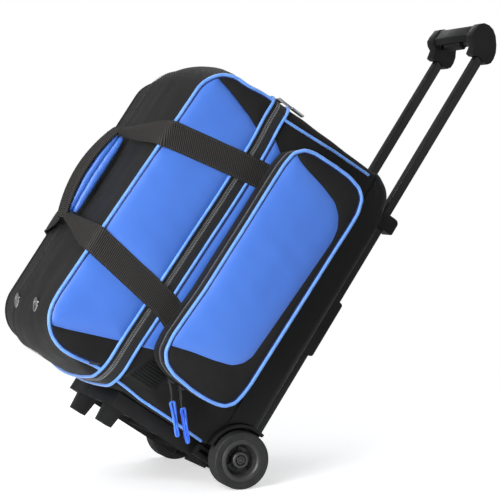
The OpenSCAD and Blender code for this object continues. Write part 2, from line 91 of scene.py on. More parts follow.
# random directions, phases and frequencies of the surface ripple
rng = np.random.RandomState(7)
RIPPLE_AXES = rng.normal(size=(24, 3))
RIPPLE_AXES /= np.linalg.norm(RIPPLE_AXES, axis=1)[:, None]
RIPPLE_PHASES = rng.uniform(0, 6.283, 24)
RIPPLE_RATES = rng.uniform(0.6, 2.2, 24)


def ripple(points, size):
    """Smooth, repeatable noise about -1..1 at the points, with features of the given size."""
    points = np.asarray(points, float)
    total = np.zeros(len(points))
    for axis, phase, rate in zip(RIPPLE_AXES, RIPPLE_PHASES, RIPPLE_RATES):
        total += np.sin((points @ axis) * (rate * 6.283 / size) + phase)
    return total / 6.0


# ------------------------------------------------------------------ materials
MATERIALS = {}
WAVE_REPEAT = 0.3142        # repeat of a wave texture of scale 1, in metres
INPUTS = {
    "specular": "Specular IOR Level", "metallic": "Metallic", "coat": "Coat Weight",
    "coat_rough": "Coat Roughness", "sheen": "Sheen Weight", "sheen_rough": "Sheen Roughness",
    "sheen_tint": "Sheen Tint",
}


def srgb(*channels):
    """Linear RGBA of an 8-bit sRGB colour."""
    parts = [c / 255.0 for c in channels]
    return tuple(c / 12.92 if c <= 0.04045 else ((c + 0.055) / 1.055) ** 2.4
                 for c in parts) + (1.0,)


def warm(value, warmth):
    """Grey pushed towards red."""
    return (value * (1 + warmth), value, value * (1 - warmth), 1)


def rgba(value):
    """A plain number is a grey."""
    return value if isinstance(value, tuple) else (value, value, value, 1)


def add_node(tree, kind, **settings):
    """New shader node; a setting is an input (with _ for a space) or else a property."""
    node = tree.nodes.new(kind)
    for key, value in settings.items():
        socket = key.replace("_", " ")
        if socket in node.inputs:
            node.inputs[socket].default_value = value
        else:
            setattr(node, key, value)
    return node


class Finish:
    """Builds one material round a Principled shader. Texture scales are per metre."""

    def __init__(self, name, colour, rough, **inputs):
        material = bpy.data.materials.new(name)
        material.use_nodes = True
        MATERIALS[name] = material
        self.tree = material.node_tree
        self.shader = self.tree.nodes["Principled BSDF"]
        self.shader.inputs["Base Color"].default_value = rgba(colour)
        self.shader.inputs["Roughness"].default_value = rough
        for key, value in inputs.items():
            value = rgba(value) if key == "sheen_tint" else value
            self.shader.inputs[INPUTS[key]].default_value = value
        self.coords = self.node("ShaderNodeTexCoord")
        self.normal = None

    def node(self, kind, **settings):
        return add_node(self.tree, kind, **settings)

    def link(self, source, target):
        self.tree.links.new(source, target)

    def noise(self, scale, detail):
        texture = self.node("ShaderNodeTexNoise", Scale=scale, Detail=detail)
        self.link(self.coords.outputs["Object"], texture.inputs["Vector"])
        return texture.outputs["Fac"]

    def wave(self, direction, pitch, coords="Object", turn=None):
        """Bands repeating at the pitch (metres), turned about Z when asked."""
        texture = self.node("ShaderNodeTexWave", bands_direction=direction,
                            Scale=WAVE_REPEAT / pitch)
        vector = self.coords.outputs[coords]
        if turn is not None:
            mapping = self.node("ShaderNodeMapping", Rotation=(0, 0, turn))
            self.link(vector, mapping.inputs["Vector"])
            vector = mapping.outputs["Vector"]
        self.link(vector, texture.inputs["Vector"])
        return texture.outputs["Fac"]

    def math(self, operation, *operands):
        node = self.node("ShaderNodeMath", operation=operation)
        for socket, value in zip(node.inputs, operands):
            if isinstance(value, (int, float)):
                socket.default_value = value
            else:
                self.link(value, socket)
        return node.outputs[0]

    def ramp(self, source, target, low, high, start=0.3, end=0.7):
        """Drives an input of the shader from low (source at start) to high (source at end)."""
        node = self.node("ShaderNodeValToRGB")
        stops = node.color_ramp.elements
        stops[0].position, stops[1].position = start, end
        stops[0].color, stops[1].color = rgba(low), rgba(high)
        self.link(source, node.inputs["Fac"])
        self.link(node.outputs["Color"], self.shader.inputs[target])
        return self

    def tint(self, source, low, high, **stops):
        return self.ramp(source, "Base Color", low, high, **stops)

    def relief(self, source, depth, strength):
        """Bump of the given depth (metres), laid over any earlier one."""
        node = self.node("ShaderNodeBump", Strength=strength, Distance=depth)
        self.link(source, node.inputs["Height"])
        if self.normal is not None:
            self.link(self.normal, node.inputs["Normal"])
        self.normal = node.outputs["Normal"]
        self.link(self.normal, self.shader.inputs["Normal"])
        return self

    def mottle(self, low, high, scale, detail=3):
        return self.tint(self.noise(scale, detail), low, high)

    def polish(self, low, high, scale, detail=4):
        return self.ramp(self.noise(scale, detail), "Roughness", low, high)

    def grain(self, depth, strength, scale, detail=3):
        return self.relief(self.noise(scale, detail), depth, strength)

    def weave(self, pitch, depth, strength):
        """Plain weave from crossed bands."""
        a, b, c = [self.wave(direction, pitch) for direction in "XZY"]
        first = self.math("MULTIPLY", a, b)
        second = self.math("MULTIPLY", b, c)
        return self.relief(self.math("MAXIMUM", first, second), depth, strength)


def moulding_finishes():
    mat = Finish("gloss_tray", 0.004, rough=0.4, specular=0.32)
    mat.mottle(0.003, 0.006, scale=6).polish(0.33, 0.46, scale=14)
    mat.grain(depth=0.0001, strength=0.12, scale=420, detail=2)

    mat = Finish("black_moulding", 0.006, rough=0.5, specular=0.33)
    mat.mottle(0.004, 0.009, scale=30, detail=4).polish(0.42, 0.58, scale=50)
    mat.grain(depth=0.00012, strength=0.25, scale=1500)

    mat = Finish("grip_moulding", 0.006, rough=0.45, specular=0.33)
    mat.mottle(0.004, 0.009, scale=25, detail=4).polish(0.38, 0.5, scale=60, detail=5)
    mat.grain(depth=0.0001, strength=0.15, scale=700)

    mat = Finish("gloss_tube", 0.007, rough=0.25, specular=0.45)
    mat.mottle(0.005, 0.010, scale=8).polish(0.2, 0.32, scale=30, detail=5)


def fabric_finishes():
    mat = Finish("blue_coated", srgb(69, 120, 216), rough=0.45, sheen=0.15, sheen_rough=0.4,
                 coat=0.5, coat_rough=0.3, sheen_tint=srgb(170, 205, 255))
    mat.mottle(srgb(64, 114, 210), srgb(74, 126, 222), scale=4).polish(0.4, 0.52, scale=18)
    mat.weave(pitch=0.0011, depth=0.00022, strength=0.35)
    mat.grain(depth=0.0016, strength=0.3, scale=26)

    mat = Finish("blue_bead", srgb(98, 156, 244), rough=0.42, sheen=0.35, coat=0.1, coat_rough=0.3)
    mat.mottle(srgb(88, 146, 238), srgb(112, 168, 250), scale=60)
    mat.grain(depth=0.0003, strength=0.5, scale=900, detail=2)

    mat = Finish("black_polyester", 0.007, rough=0.75, sheen=0.07, sheen_rough=0.5,
                 sheen_tint=0.5, specular=0.26)
    mat.mottle(warm(0.005, 0.03), warm(0.010, 0.02), scale=9, detail=5)
    mat.polish(0.6, 0.8, scale=25)
    mat.weave(pitch=0.0013, depth=0.0003, strength=0.55)
    mat.grain(depth=0.0022, strength=0.35, scale=34, detail=4)

    mat = Finish("inner_lining", 0.035, rough=0.8, sheen=0.3)
    mat.mottle(0.028, 0.045, scale=12, detail=4)
    mat.weave(pitch=0.002, depth=0.0003, strength=0.5)
    mat.grain(depth=0.003, strength=0.4, scale=20, detail=4)

    mat = Finish("black_foam", 0.03, rough=0.9, sheen=0.4)
    mat.mottle(0.022, 0.042, scale=40, detail=5)
    mat.grain(depth=0.0006, strength=0.7, scale=700, detail=4)


def webbing_finish():
    mat = Finish("twill_webbing", warm(0.012, 0.06), rough=0.66, sheen=0.03, sheen_rough=0.4,
                 sheen_tint=warm(0.5, 0.05), specular=0.35)
    twill = mat.wave("X", pitch=0.0031, coords="UV", turn=math.radians(10))
    fine = mat.wave("Y", pitch=0.0017, coords="UV")
    fine = mat.math("ADD", mat.math("MULTIPLY", fine, 0.4), 0.6)
    height = mat.math("MULTIPLY", twill, fine)
    # the colour follows the weave's height: painted highlight on the rib crests, painted shade in
    # the hollows
    mat.tint(height, warm(0.002, 0.05), warm(0.060, 0.10), start=0.38, end=0.85)
    mat.relief(height, depth=0.0007, strength=0.8)
    mat.grain(depth=0.001, strength=0.2, scale=60)


def zipper_finishes():
    mat = Finish("zipper_tape", 0.006, rough=0.7, sheen=0.08)
    rib = mat.wave("X", pitch=0.0016)
    # the colour follows the ribs: painted highlight on their crests, painted shade between them
    mat.tint(rib, 0.004, 0.011).relief(rib, depth=0.0003, strength=0.6)

    mat = Finish("zipper_coil", 0.26, rough=0.35, metallic=0.2)
    mat.mottle(0.16, 0.36, scale=800, detail=2).polish(0.25, 0.45, scale=500, detail=2)


def metal_finishes():
    mat = Finish("bright_nickel", 0.72, rough=0.18, metallic=1.0)
    mat.polish(0.12, 0.3, scale=300).grain(depth=0.00008, strength=0.3, scale=900)

    Finish("dark_steel", 0.10, rough=0.35, metallic=1.0).polish(0.25, 0.45, scale=300)
    Finish("satin_steel", 0.5, rough=0.3, metallic=1.0).polish(0.22, 0.4, scale=200)


def wheel_finishes():
    mat = Finish("tread_rubber", 0.014, rough=0.62)
    mat.mottle(0.010, 0.020, scale=80, detail=5).polish(0.5, 0.75, scale=120)
    mat.grain(depth=0.0003, strength=0.6, scale=1200, detail=4)

    mat = Finish("hub_moulding", 0.036, rough=0.4)
    mat.mottle(0.028, 0.046, scale=50, detail=4).polish(0.32, 0.5, scale=60)
    mat.grain(depth=0.0002, strength=0.35, scale=1500)


def cord_finish(name, colour, rough, sheen, pitch, low, high, depth, strength):
    mat = Finish(name, colour, rough=rough, sheen=sheen)
    twist = mat.wave("DIAGONAL", pitch)
    # the colour follows the twist: painted highlight on the strand crests, painted shade in the
    # grooves
    mat.tint(twist, low, high).relief(twist, depth, strength)


def thread_finishes():
    mat = Finish("thread_black", 0.03, rough=0.6, sheen=0.3)
    mat.mottle(0.02, 0.05, scale=500, detail=2)

    mat = Finish("thread_blue", srgb(60, 105, 205), rough=0.55, sheen=0.3)
    mat.mottle(srgb(50, 95, 195), srgb(80, 130, 225), scale=500, detail=2)

    cord_finish("blue_cord", srgb(25, 95, 235), rough=0.5, sheen=0.4, pitch=0.0022,
                low=srgb(18, 80, 215), high=srgb(60, 130, 250), depth=0.0006, strength=0.7)

    # dark navy of the lines laid in the seam crevices: painted shade
    mat = Finish("navy_seam_shade", srgb(14, 30, 84), rough=0.7)
    mat.mottle(srgb(10, 22, 66), srgb(20, 40, 100), scale=200, detail=2)

    mat = Finish("thread_grey", 0.09, rough=0.6, sheen=0.2)
    mat.mottle(0.06, 0.14, scale=500, detail=2)

    cord_finish("black_string", 0.006, rough=0.6, sheen=0.15, pitch=0.0016,
                low=0.003, high=0.012, depth=0.0004, strength=0.6)

    Finish("nylon_grey", 0.12, rough=0.5).mottle(0.1, 0.14, scale=60)


# ------------------------------------------------------------------ outlines and paths
def unit(vectors):
    return vectors / np.linalg.norm(vectors, axis=1)[:, None]


def tangents(path, closed=False):
    if closed:
        return unit(np.roll(path, -1, 0) - np.roll(path, 1, 0))
    return unit(np.gradient(path, axis=0))


def right_of(direction):
    """Normals on the right of 2D tangents: outward on a counter-clockwise outline."""
    return np.stack([direction[:, 1], -direction[:, 0]], 1)


def run_lengths(path):
    return np.r_[0, np.cumsum(np.linalg.norm(np.diff(path, axis=0), axis=1))]


def arc(cx, cy, radius, start, end, steps):
    """Points of an arc, angles in degrees."""
    angles = [math.radians(start + (end - start) * i / steps) for i in range(steps + 1)]
    return [(cx + radius * math.cos(a), cy + radius * math.sin(a)) for a in angles]


def round_rect(x0, x1, y0, y1, radii, steps=10):
    """Counter-clockwise rounded rectangle; radii at (x0,y0), (x1,y0), (x1,y1), (x0,y1)."""
    a, b, c, d = radii
    return (arc(x0 + a, y0 + a, a, 180, 270, steps) + arc(x1 - b, y0 + b, b, 270, 360, steps)
            + arc(x1 - c, y1 - c, c, 0, 90, steps) + arc(x0 + d, y1 - d, d, 90, 180, steps))


def resample(points, step, closed=True):
    p = np.asarray(points, float)
    if closed:
        p = np.vstack([p, p[:1]])
    run = run_lengths(p)
    keep = np.r_[True, np.diff(run) > 1e-9]
    p, run = p[keep], run[keep]
    count = max(3, int(round(run[-1] / step)))
    stops = np.linspace(0, run[-1], count + 1)
    if closed:
        stops = stops[:-1]
    return np.stack([np.interp(stops, run, p[:, k]) for k in range(p.shape[1])], 1)


def smoothed(points, step, closed=False, times=3):
    """Resampled polyline with its corners eased."""
    p = resample(points, step, closed)
    for _ in range(times):
        if closed:
            p = (np.roll(p, 1, 0) + 2 * p + np.roll(p, -1, 0)) / 4
        else:
            eased = p.copy()
            eased[1:-1] = (p[:-2] + 2 * p[1:-1] + p[2:]) / 4
            p = eased
    return p


def offset(outline, distance):
    """Counter-clockwise outline moved outwards."""
    return outline + right_of(tangents(outline, closed=True)) * distance


def nearest(outline, point):
    return int(np.argmin(((outline - point) ** 2).sum(1)))


def stretch(outline, first, last):
    """Part of a closed outline from one index to another."""
    if first <= last:
        return outline[first:last + 1]
    return np.vstack([outline[first:], outline[:last + 1]])


def outline_distance(points, outline):
    """Distance to a closed outline, and the nearest point on it."""
    starts = np.asarray(outline, float)
    edges = np.roll(starts, -1, 0) - starts
    best = np.full(len(points), 1e9)
    near = np.array(points, float)
    for start, edge in zip(starts, edges):
        length2 = edge @ edge
        if length2 < 1e-12:
            continue
        t = np.clip(((points - start) @ edge) / length2, 0, 1)
        foot = start + t[:, None] * edge
        gap = np.hypot(points[:, 0] - foot[:, 0], points[:, 1] - foot[:, 1])
        closer = gap < best
        best[closer] = gap[closer]
        near[closer] = foot[closer]
    return best, near


def inside(points, outline):
    starts = np.asarray(outline, float)
    odd = np.zeros(len(points), bool)
    px, py = points[:, 0], points[:, 1]
    for (x1, y1), (x2, y2) in zip(starts, np.roll(starts, -1, 0)):
        if y1 != y2:
            odd ^= ((y1 > py) != (y2 > py)) & (px < (x2 - x1) * (py - y1) / (y2 - y1) + x1)
    return odd


# ------------------------------------------------------------------ shape of the soft case
def ease(t):
    """Smooth step from 0 to 1."""
    t = np.clip(t, 0, 1)
    return t * t * (3 - 2 * t)


def corner_radius(x, end):
    """Radius between front or rear and an end face: soft at the zipper, tight elsewhere."""
    x = np.asarray(x, float)
    end = np.asarray(end, float)
    past_zip = ease((x + 226) / 110)
    soft = ease((x + 322) / 60) * (1 - past_zip)
    return (34 - 17 * end) * soft + (5.0 + 8.5 * end) * past_zip + 0.5


# sideways wander of the zipper by height: stations, then a moving average
LEAN_Z = np.linspace(-60, 560, 311)
LEAN_X = np.interp(LEAN_Z, [-6, 60, 105, 160, 260, 320, 410, 445, 470, 490],
                   [-4.5, -5.5, -4, -2, 0.5, 2.5, 3.5, 2, -1.0, 0])
LEAN_X = np.convolve(np.pad(LEAN_X, 9, mode="edge"), np.ones(19) / 19, "valid")


def lean(x, z):
    """Sideways wander of the zipper and of the seams beside it."""
    near_zip = ease((x + 345) / 60) * (1 - ease((x + 222) / 16))
    return np.interp(z, LEAN_Z, LEAN_X) * near_zip


def lid_drift(x, y, z):
    """How the soft lid departs from the plain rounded box: (dx, dz)."""
    x, y, z = np.broadcast_arrays(*(np.asarray(v, float) for v in (x, y, z)))
    near_end = 1 - ease((x + 386) / 120)
    front_dx = np.interp(z, [-6, 37, 63, 134, 185, 282, 331, 430, 470, 504],
                         [0, -1.5, -2.9, -0.7, 1, 4.6, 6.4, 9.5, 10.3, 10.3])
    depth_dx = np.interp(y, [-141, -70, 0, 75, 141], [0, 4.6, 7.2, 8.7, 9.0])
    frontness = np.clip(-y / HALF_Y, 0, 1)
    dx = (front_dx * frontness ** 2 + depth_dx) * near_end
    dz = (-11.3 * (1 - ease((x + 322) / 62)) * ease((z - 330) / 150)
          * np.clip(np.abs(y) / HALF_Y, 0, 1) ** 3)
    return dx, dz


def undrift(target):
    """Plain-box (x, z) on the front face of points given where they should end up."""
    plain = np.array(target, float)
    for _ in range(4):
        dx, dz = lid_drift(plain[:, 0], -HALF_Y, plain[:, 1])
        plain = target - np.stack([dx + lean(plain[:, 0], plain[:, 1]), dz], 1)
    return plain


def settle(name, verts):
    """Applies the lean and the lid's drift to the soft pieces, chosen by name."""
    verts = np.array(verts, float)
    x, y, z = verts.T.copy()
    if name.startswith(("lid_", "eyelet")):
        dx, dz = lid_drift(x, y, z)
        verts[:, 0] += dx + lean(x, z)
        verts[:, 2] += dz
    elif name.startswith(("zip_", "body_skin", "body_piping", "front_strip", "vent_",
                          "hinge_strip")):
        verts[:, 0] += lean(x, z)
    return verts


def inset(distance, radius):
    """How far a rounded corner lies inside its face, at a distance from the other face."""
    distance, radius = np.broadcast_arrays(np.asarray(distance, float),
                                           np.asarray(radius, float))
    d = np.clip(radius - distance, 0, radius)
    return radius - np.sqrt(np.maximum(radius * radius - d * d, 0))


def front_y(x, z):
    """Y of the front face, which turns in at its corners."""
    z = np.asarray(z)
    return -HALF_Y + inset(np.minimum(z - Z_LOW, Z_TOP - z), corner_radius(x, z > Z_MID))


def front_path(x, z, lift):
    """Path over the front face, standing off it by lift."""
    x, z = np.broadcast_arrays(x, z)
    return np.stack([x, front_y(x, z) - lift, z], 1)


def end_bulge(x, y, end):
    """How far an end face swells outwards."""
    x = np.asarray(x, float)
    if end == 0:
        height = 3.0 + 11.0 * (1 - ease((x + 250) / 46))
    else:
        height = 0.6 + 7.8 * ease((-262 - x) / 45) + 4.2 * ease((x + 232) / 45)
    return height * np.clip(1 - (np.asarray(y) / HALF_Y) ** 2, 0, 1)


def end_swell(x, y, z, low=Z_LOW, top=Z_TOP):
    """Change of z from both end bulges, fading out within 40 of each end."""
    down = end_bulge(x, y, 0) * (z < (low + top) / 2 if low == top else z < Z_MID)
    up = end_bulge(x, y, 1) * (z > Z_MID)
    return up * np.clip((z - top + 40) / 40, 0, 1) - down * np.clip((low + 40 - z) / 40, 0, 1)


def gusset_outline():
    """Lid outline (x, z) from the zipper round the -X end to the zipper, and its normals."""
    c = LID_CORNER
    p = [(LID_EDGE, Z_LOW)]
    p += arc(LID_X + c, Z_LOW + c, c, 270, 180, 14)
    p += arc(LID_X + c, Z_TOP - c, c, 180, 90, 14)
    p += [(LID_EDGE, Z_TOP)]
    p = resample(p, 4.0, closed=False)
    return p, -right_of(tangents(p))


GUSSET, GUSSET_NORMALS = gusset_outline()


def gusset_points(i, y):
    """Points of the lid's gusset at outline station i and depth y."""
    (x, z), (nx, nz) = GUSSET[i], GUSSET_NORMALS[i]
    y = np.asarray(y, float)
    end = 1 if nz > 0 else 0
    pillow = 8.0 * (1 - np.clip(np.abs(y) / HALF_Y, 0, 1) ** 2)
    out = end_bulge(x, y, end) * (1 - abs(nx)) + pillow * abs(nx)
    out = out - inset(HALF_Y - np.abs(y), float(corner_radius(x, end)))
    # the cross seam: a narrow groove in a low ridge
    out = out - 2.2 * np.exp(-((y - SEAM_Y) / 2.0) ** 2)
    out = out + 1.7 * np.exp(-((y - SEAM_Y) / 6.0) ** 2)
    return np.stack([x + nx * out, y, z + nz * out], -1)


def face_seam(margin=0.0):
    """Seam (x, z) round the lid's face, from the zipper's lower end to its upper end."""
    gap = 1.2 + margin
    c = LID_CORNER - 1 - margin
    start, turn = LID_EDGE + 0.8, LID_X + gap + c
    p = [(x, Z_LOW + gap) for x in np.linspace(start, turn, 24)][:-1]
    p += arc(turn, Z_LOW + gap + c, c, 270, 180, 22)
    p += arc(turn, Z_TOP - gap - c, c, 180, 90, 22)
    p += [(x, Z_TOP - gap) for x in np.linspace(turn, start, 24)][1:]
    p = np.array(p)
    upper = p[:, 1] > Z_MID
    cut = CORNER_CUT * corner_radius(p[:, 0], upper)
    near_end = np.exp(-(np.minimum(p[:, 1] - Z_LOW, Z_TOP - p[:, 1]) / 26.0) ** 2)
    bulge = np.where(upper, end_bulge(p[:, 0], HALF_Y - cut, 1),
                     end_bulge(p[:, 0], HALF_Y - cut, 0))
    p[:, 1] += np.where(upper, -1, 1) * (cut - bulge) * near_end
    return p


# ------------------------------------------------------------------ mesh helpers
def tag(obj, body, replaces):
    if body:
        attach(obj, body)
    if replaces:
        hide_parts(replaces)


def add_object(name, mesh, mat, angle):
    """Object with smooth shading, sharp beyond the angle (degrees)."""
    mesh.polygons.foreach_set("use_smooth", [True] * len(mesh.polygons))
    mesh.update()
    mesh.set_sharp_from_angle(angle=math.radians(angle))
    obj = bpy.data.objects.new(name, mesh)
    bpy.context.scene.collection.objects.link(obj)
    mesh.materials.append(MATERIALS[mat])
    return obj


def make(name, verts, faces, *, mat, angle, body=None, uv=None, replaces=None, slot=None,
         recalc=True):
    """Object from vertices in mm; recalc turns the faces outwards after sharpness is set."""
    mesh = bpy.data.meshes.new(name)
    mesh.from_pydata((settle(name, verts) * MM).tolist(), [], faces)
    mesh.validate()
    if uv is not None:
        layer = mesh.uv_layers.new(name="UVMap")
        corners = np.zeros(len(mesh.loops), int)
        mesh.loops.foreach_get("vertex_index", corners)
        layer.data.foreach_set("uv", np.asarray(uv, float)[corners].ravel())
    obj = add_object(name, mesh, mat, angle)
    tag(obj, body, replaces)
    if recalc:
        bm = bmesh.new()
        bm.from_mesh(mesh)
        bmesh.ops.recalc_face_normals(bm, faces=bm.faces)
        bm.to_mesh(mesh)
        bm.free()
    return obj


def ring_faces(rings, sides, base=0, along=False, caps=1, wrap=False):
    """Quads joining rings of vertices. along starts each quad along the run; caps 1 or -1
    closes both ends with that winding, 0 leaves them open; wrap joins last to first."""
    faces = []
    for i in range(rings if wrap else rings - 1):
        a = base + i * sides
        b = base + (i + 1) % rings * sides
        for k in range(sides):
            n = (k + 1) % sides
            if along:
                faces.append((a + k, b + k, b + n, a + n))
            else:
                faces.append((a + k, a + n, b + n, b + k))
    if caps:
        last = base + (rings - 1) * sides
        faces.append(tuple(range(base, base + sides))[::caps])
        faces.append(tuple(range(last, last + sides))[::-caps])
    return faces


def grid_faces(rows, cols, close=False):
    faces = []
    for i in range(rows if close else rows - 1):
        a, b = i * cols, (i + 1) % rows * cols
        faces += [(a + k, b + k, b + k + 1, a + k + 1) for k in range(cols - 1)]
    return faces


def add_wall(obj, thickness, inner=None):
    """Thickens a sheet inwards, with another material inside when given."""
    wall = obj.modifiers.new("wall", "SOLIDIFY")
    wall.thickness = thickness * MM
    wall.offset = -1.0
    if inner:
        obj.data.materials.append(MATERIALS[inner])
        wall.material_offset = 1


def sheet(name, grid, *, wall, inner=None, close=False, angle=60, recalc=False, **tags):
    """Grid (rows, cols, 3) as a thickened quad sheet; close joins its last row to the first."""
    rows, cols = grid.shape[:2]
    obj = make(name, grid.reshape(-1, 3), grid_faces(rows, cols, close), angle=angle,
               recalc=recalc, **tags)
    add_wall(obj, wall, inner)
    return obj


def snapped_grid(outline, cell):
    """Square grid filling an outline, its border vertices moved onto it.
    Returns vertices (x, z), their distance from the outline, and faces."""
    lo, hi = outline.min(0), outline.max(0)
    nx = int((hi[0] - lo[0]) / cell) + 3
    nz = int((hi[1] - lo[1]) / cell) + 3
    xs = lo[0] - cell + cell * np.arange(nx + 1)
    zs = lo[1] - cell + cell * np.arange(nz + 1)
    points = np.stack(np.meshgrid(xs, zs, indexing="ij"), -1).reshape(-1, 2)
    distance, near = outline_distance(points, outline)
    snap = distance < 0.52 * cell
    kept = inside(points, outline) | snap
    points = np.where(snap[:, None], near, points)
    distance = np.where(snap, 0, distance)
    faces = []
    for i in range(nx):
        for j in range(nz):
            a = i * (nz + 1) + j
            d = a + nz + 1
            quad = (a, d, d + 1, a + 1)
            corners = tuple(v for v in quad if kept[v])
            on_rim = [bool(snap[v]) for v in quad]
            if len(corners) < 3 or all(snap[v] for v in corners):
                continue
            if on_rim == [True, False, True, False] and len(corners) == 4:
                faces += [quad[:3], (quad[0], quad[2], quad[3])]
            elif on_rim == [False, True, False, True] and len(corners) == 4:
                faces += [(quad[0], quad[1], quad[3]), quad[1:]]
            else:
                faces.append(corners)
    used = sorted({v for face in faces for v in face})
    index = {v: i for i, v in enumerate(used)}
    faces = [tuple(index[v] for v in face) for face in faces]
    return points[used], distance[used], faces


def edges_of(face):
    return zip(face, face[1:] + face[:1])


def add_skirt(verts, faces, drop):
    """Extends the open rim by the drop vector."""
    uses = {}
    directed = set()
    for face in faces:
        for a, b in edges_of(face):
            key = (min(a, b), max(a, b))
            uses[key] = uses.get(key, 0) + 1
            directed.add((a, b))
    rim = [edge for edge, count in uses.items() if count == 1]
    rim_verts = sorted({v for edge in rim for v in edge})
    lower = {v: len(verts) + i for i, v in enumerate(rim_verts)}
    verts = np.vstack([verts, verts[rim_verts] + drop])
    for a, b in rim:
        if (a, b) in directed:
            a, b = b, a
        faces.append((a, b, lower[b], lower[a]))
    return verts, faces


def panel(name, outline, surface, side, *, puff=4.0, falloff=9.0, cell=2.6, skirt=3.0,
          dimple=0.5, crown=0.0, dent=None, **tags):
    """Padded panel filling an outline (x, z), domed away from its seams towards side * Y.
    surface is the y it lies on, a number or a function of x and z; skirt turns its rim back."""
    outline = np.asarray(outline, float)
    points, distance, faces = snapped_grid(outline, cell)
    x, z = points.T
    lo, hi = outline.min(0), outline.max(0)
    centre, half = (lo + hi) / 2, (hi - lo) / 2
    dome = (crown * np.clip(1 - ((x - centre[0]) / half[0]) ** 2, 0, 1)
            * np.clip(1 - ((z - centre[1]) / half[1]) ** 2, 0, 1))
    padded = 1 - np.exp(-distance / falloff)
    flat = np.stack([x, np.zeros(len(x)), z], 1)
    out = puff * padded + dome + dimple * ripple(flat, 70) * (1 - np.exp(-distance / 12))
    if dent is not None:
        out = out - dent(x, z) * padded
    base = surface(x, z) if callable(surface) else surface
    verts = np.stack([x, base + side * out, z], 1)
    verts, faces = add_skirt(verts, faces, np.array([0, -side * skirt, 0]))
    return make(name, verts, faces, angle=55, **tags)


def tube(name, path, radius, *, closed=False, sides=10, **tags):
    """Round bead along a path."""
    path = np.asarray(path, float)
    run = tangents(path, closed)
    up = np.array([0.3, 1, 0.2]) if abs(run[:, 1]).max() < 0.97 else np.array([1, 0.2, 0.3])
    a = unit(np.cross(run, up))
    b = np.cross(run, a)
    turns = [2 * math.pi * k / sides for k in range(sides)]
    verts = np.stack([path + (a * math.cos(w) + b * math.sin(w)) * radius for w in turns], 1)
    faces = ring_faces(len(path), sides, caps=0 if closed else 1, wrap=closed)
    uv = np.stack([np.repeat(run_lengths(path) * MM, sides),
                   np.tile(np.arange(sides) / sides * 0.01, len(path))], 1)
    return make(name, verts.reshape(-1, 3), faces, uv=uv, angle=60, **tags)


def ribbon(name, path, width, across, cup, **tags):
    """Webbing with rounded selvedges; width, width direction and cupping at each point."""
    thick = 2.0
    normal = unit(np.cross(tangents(path), across))
    stations = np.linspace(-1, 1, 9)
    profile = [(s, sign * 0.5 * (1 - 0.35 * abs(s) ** 8))
               for sign, row in ((1, stations), (-1, stations[::-1])) for s in row]
    sides = len(profile)
    verts = np.zeros((len(path), sides, 3))
    uv = np.zeros((len(path), sides, 2))
    for k, (s, level) in enumerate(profile):
        lift = level * thick + cup * (s * s - 0.4)
        verts[:, k] = path + across * (s * width / 2)[:, None] + normal * lift[:, None]
        uv[:, k, 0] = run_lengths(path) * MM
        uv[:, k, 1] = s * 0.0215
    return make(name, verts.reshape(-1, 3), ring_faces(len(path), sides, along=True),
                uv=uv.reshape(-1, 2), angle=50, **tags)


def add_stitch(verts, faces, centre, along, across, outward, tip, crest):
    """One tapered stitch. The vectors carry its length and radii; tip scales its ends."""
    faces += ring_faces(4, 4, base=len(verts), along=True)
    for u, s in ((-0.5, tip), (-0.3, 1.0), (0.3, 1.0), (0.5, tip)):
        for x, y in ((-1, 0), (0, crest), (1, 0), (0, -0.6)):
            verts.append(centre + along * u + across * (x * s) + outward * (y * s))


def stitch_row(name, path, outward, *, closed=False, pitch=4.2, length=2.6, radius=0.42,
               **tags):
    """Raised stitches along a path, standing on a surface with the given normal."""
    outward = np.asarray(outward, float)
    centres = resample(path, pitch, closed)
    verts, faces = [], []
    for centre, along in zip(centres, tangents(centres, closed)):
        across = np.cross(along, outward)
        across /= np.linalg.norm(across)
        add_stitch(verts, faces, centre, along * length, across * radius, outward * radius,
                   tip=0.25, crest=1.1)
    return make(name, verts, faces, angle=70, **tags)


def add_tooth(verts, faces, centre, along, across, outward, sections, caps):
    """One zipper tooth from sections of (shift across, half width, foot, head)."""
    faces += ring_faces(len(sections), 4, base=len(verts), caps=caps)
    for shift, half, foot, head in sections:
        for w, h in ((-half, foot), (half, foot), (half, head), (-half, head)):
            verts.append(centre + across * shift + along * w + outward * h)


def lathe(name, profile, origin, axis, segments, **tags):
    """Turned ring from a closed profile of (radius, height along the axis)."""
    axis = axis / np.linalg.norm(axis)
    a = np.cross(axis, [0, 1, 0.1])
    a /= np.linalg.norm(a)
    b = np.cross(axis, a)
    verts = []
    for k in range(segments):
        turn = 2 * math.pi * k / segments
        out = a * math.cos(turn) + b * math.sin(turn)
        verts += [origin + out * radius + axis * height for radius, height in profile]
    faces = ring_faces(segments, len(profile), along=True, caps=0, wrap=True)
    return make(name, verts, faces, angle=45, body="lid", **tags)


CUTTERS = []


def subtract(obj, modifier, name, operator, **settings):
    """Boolean cut by a bmesh primitive (metres)."""
    mesh = bpy.data.meshes.new(name)
    bm = bmesh.new()
    operator(bm, **settings)
    bm.to_mesh(mesh)
    bm.free()
    cutter = bpy.data.objects.new(name, mesh)
    bpy.context.scene.collection.objects.link(cutter)
    cut = obj.modifiers.new(modifier, "BOOLEAN")
    cut.operation = "DIFFERENCE"
    cut.object = cutter
    cut.solver = "EXACT"
    CUTTERS.append(cutter)


def cut_wheel_well(obj, name, y, radius, segments):
    place = Matrix.Translation((0, y * MM, 0)) @ Matrix.Rotation(math.pi / 2, 4, "X")
    subtract(obj, "well", name, bmesh.ops.create_cone, cap_ends=True, segments=segments,
             radius1=radius * MM, radius2=radius * MM, depth=0.06, matrix=place)


# ------------------------------------------------------------------ lid
# edges (x, z) of the lid's middle panel, given where they lie on the settled lid
LID_EDGE_LOW = [(-384, 14.5), (-372, 16.2), (-343, 25), (-302, 40), (-268, 52), (-256, 58)]
LID_EDGE_HIGH = [(-248, 440), (-260, 446), (-279, 454), (-308, 463), (-331, 469), (-351, 473),
                 (-362, 479)]


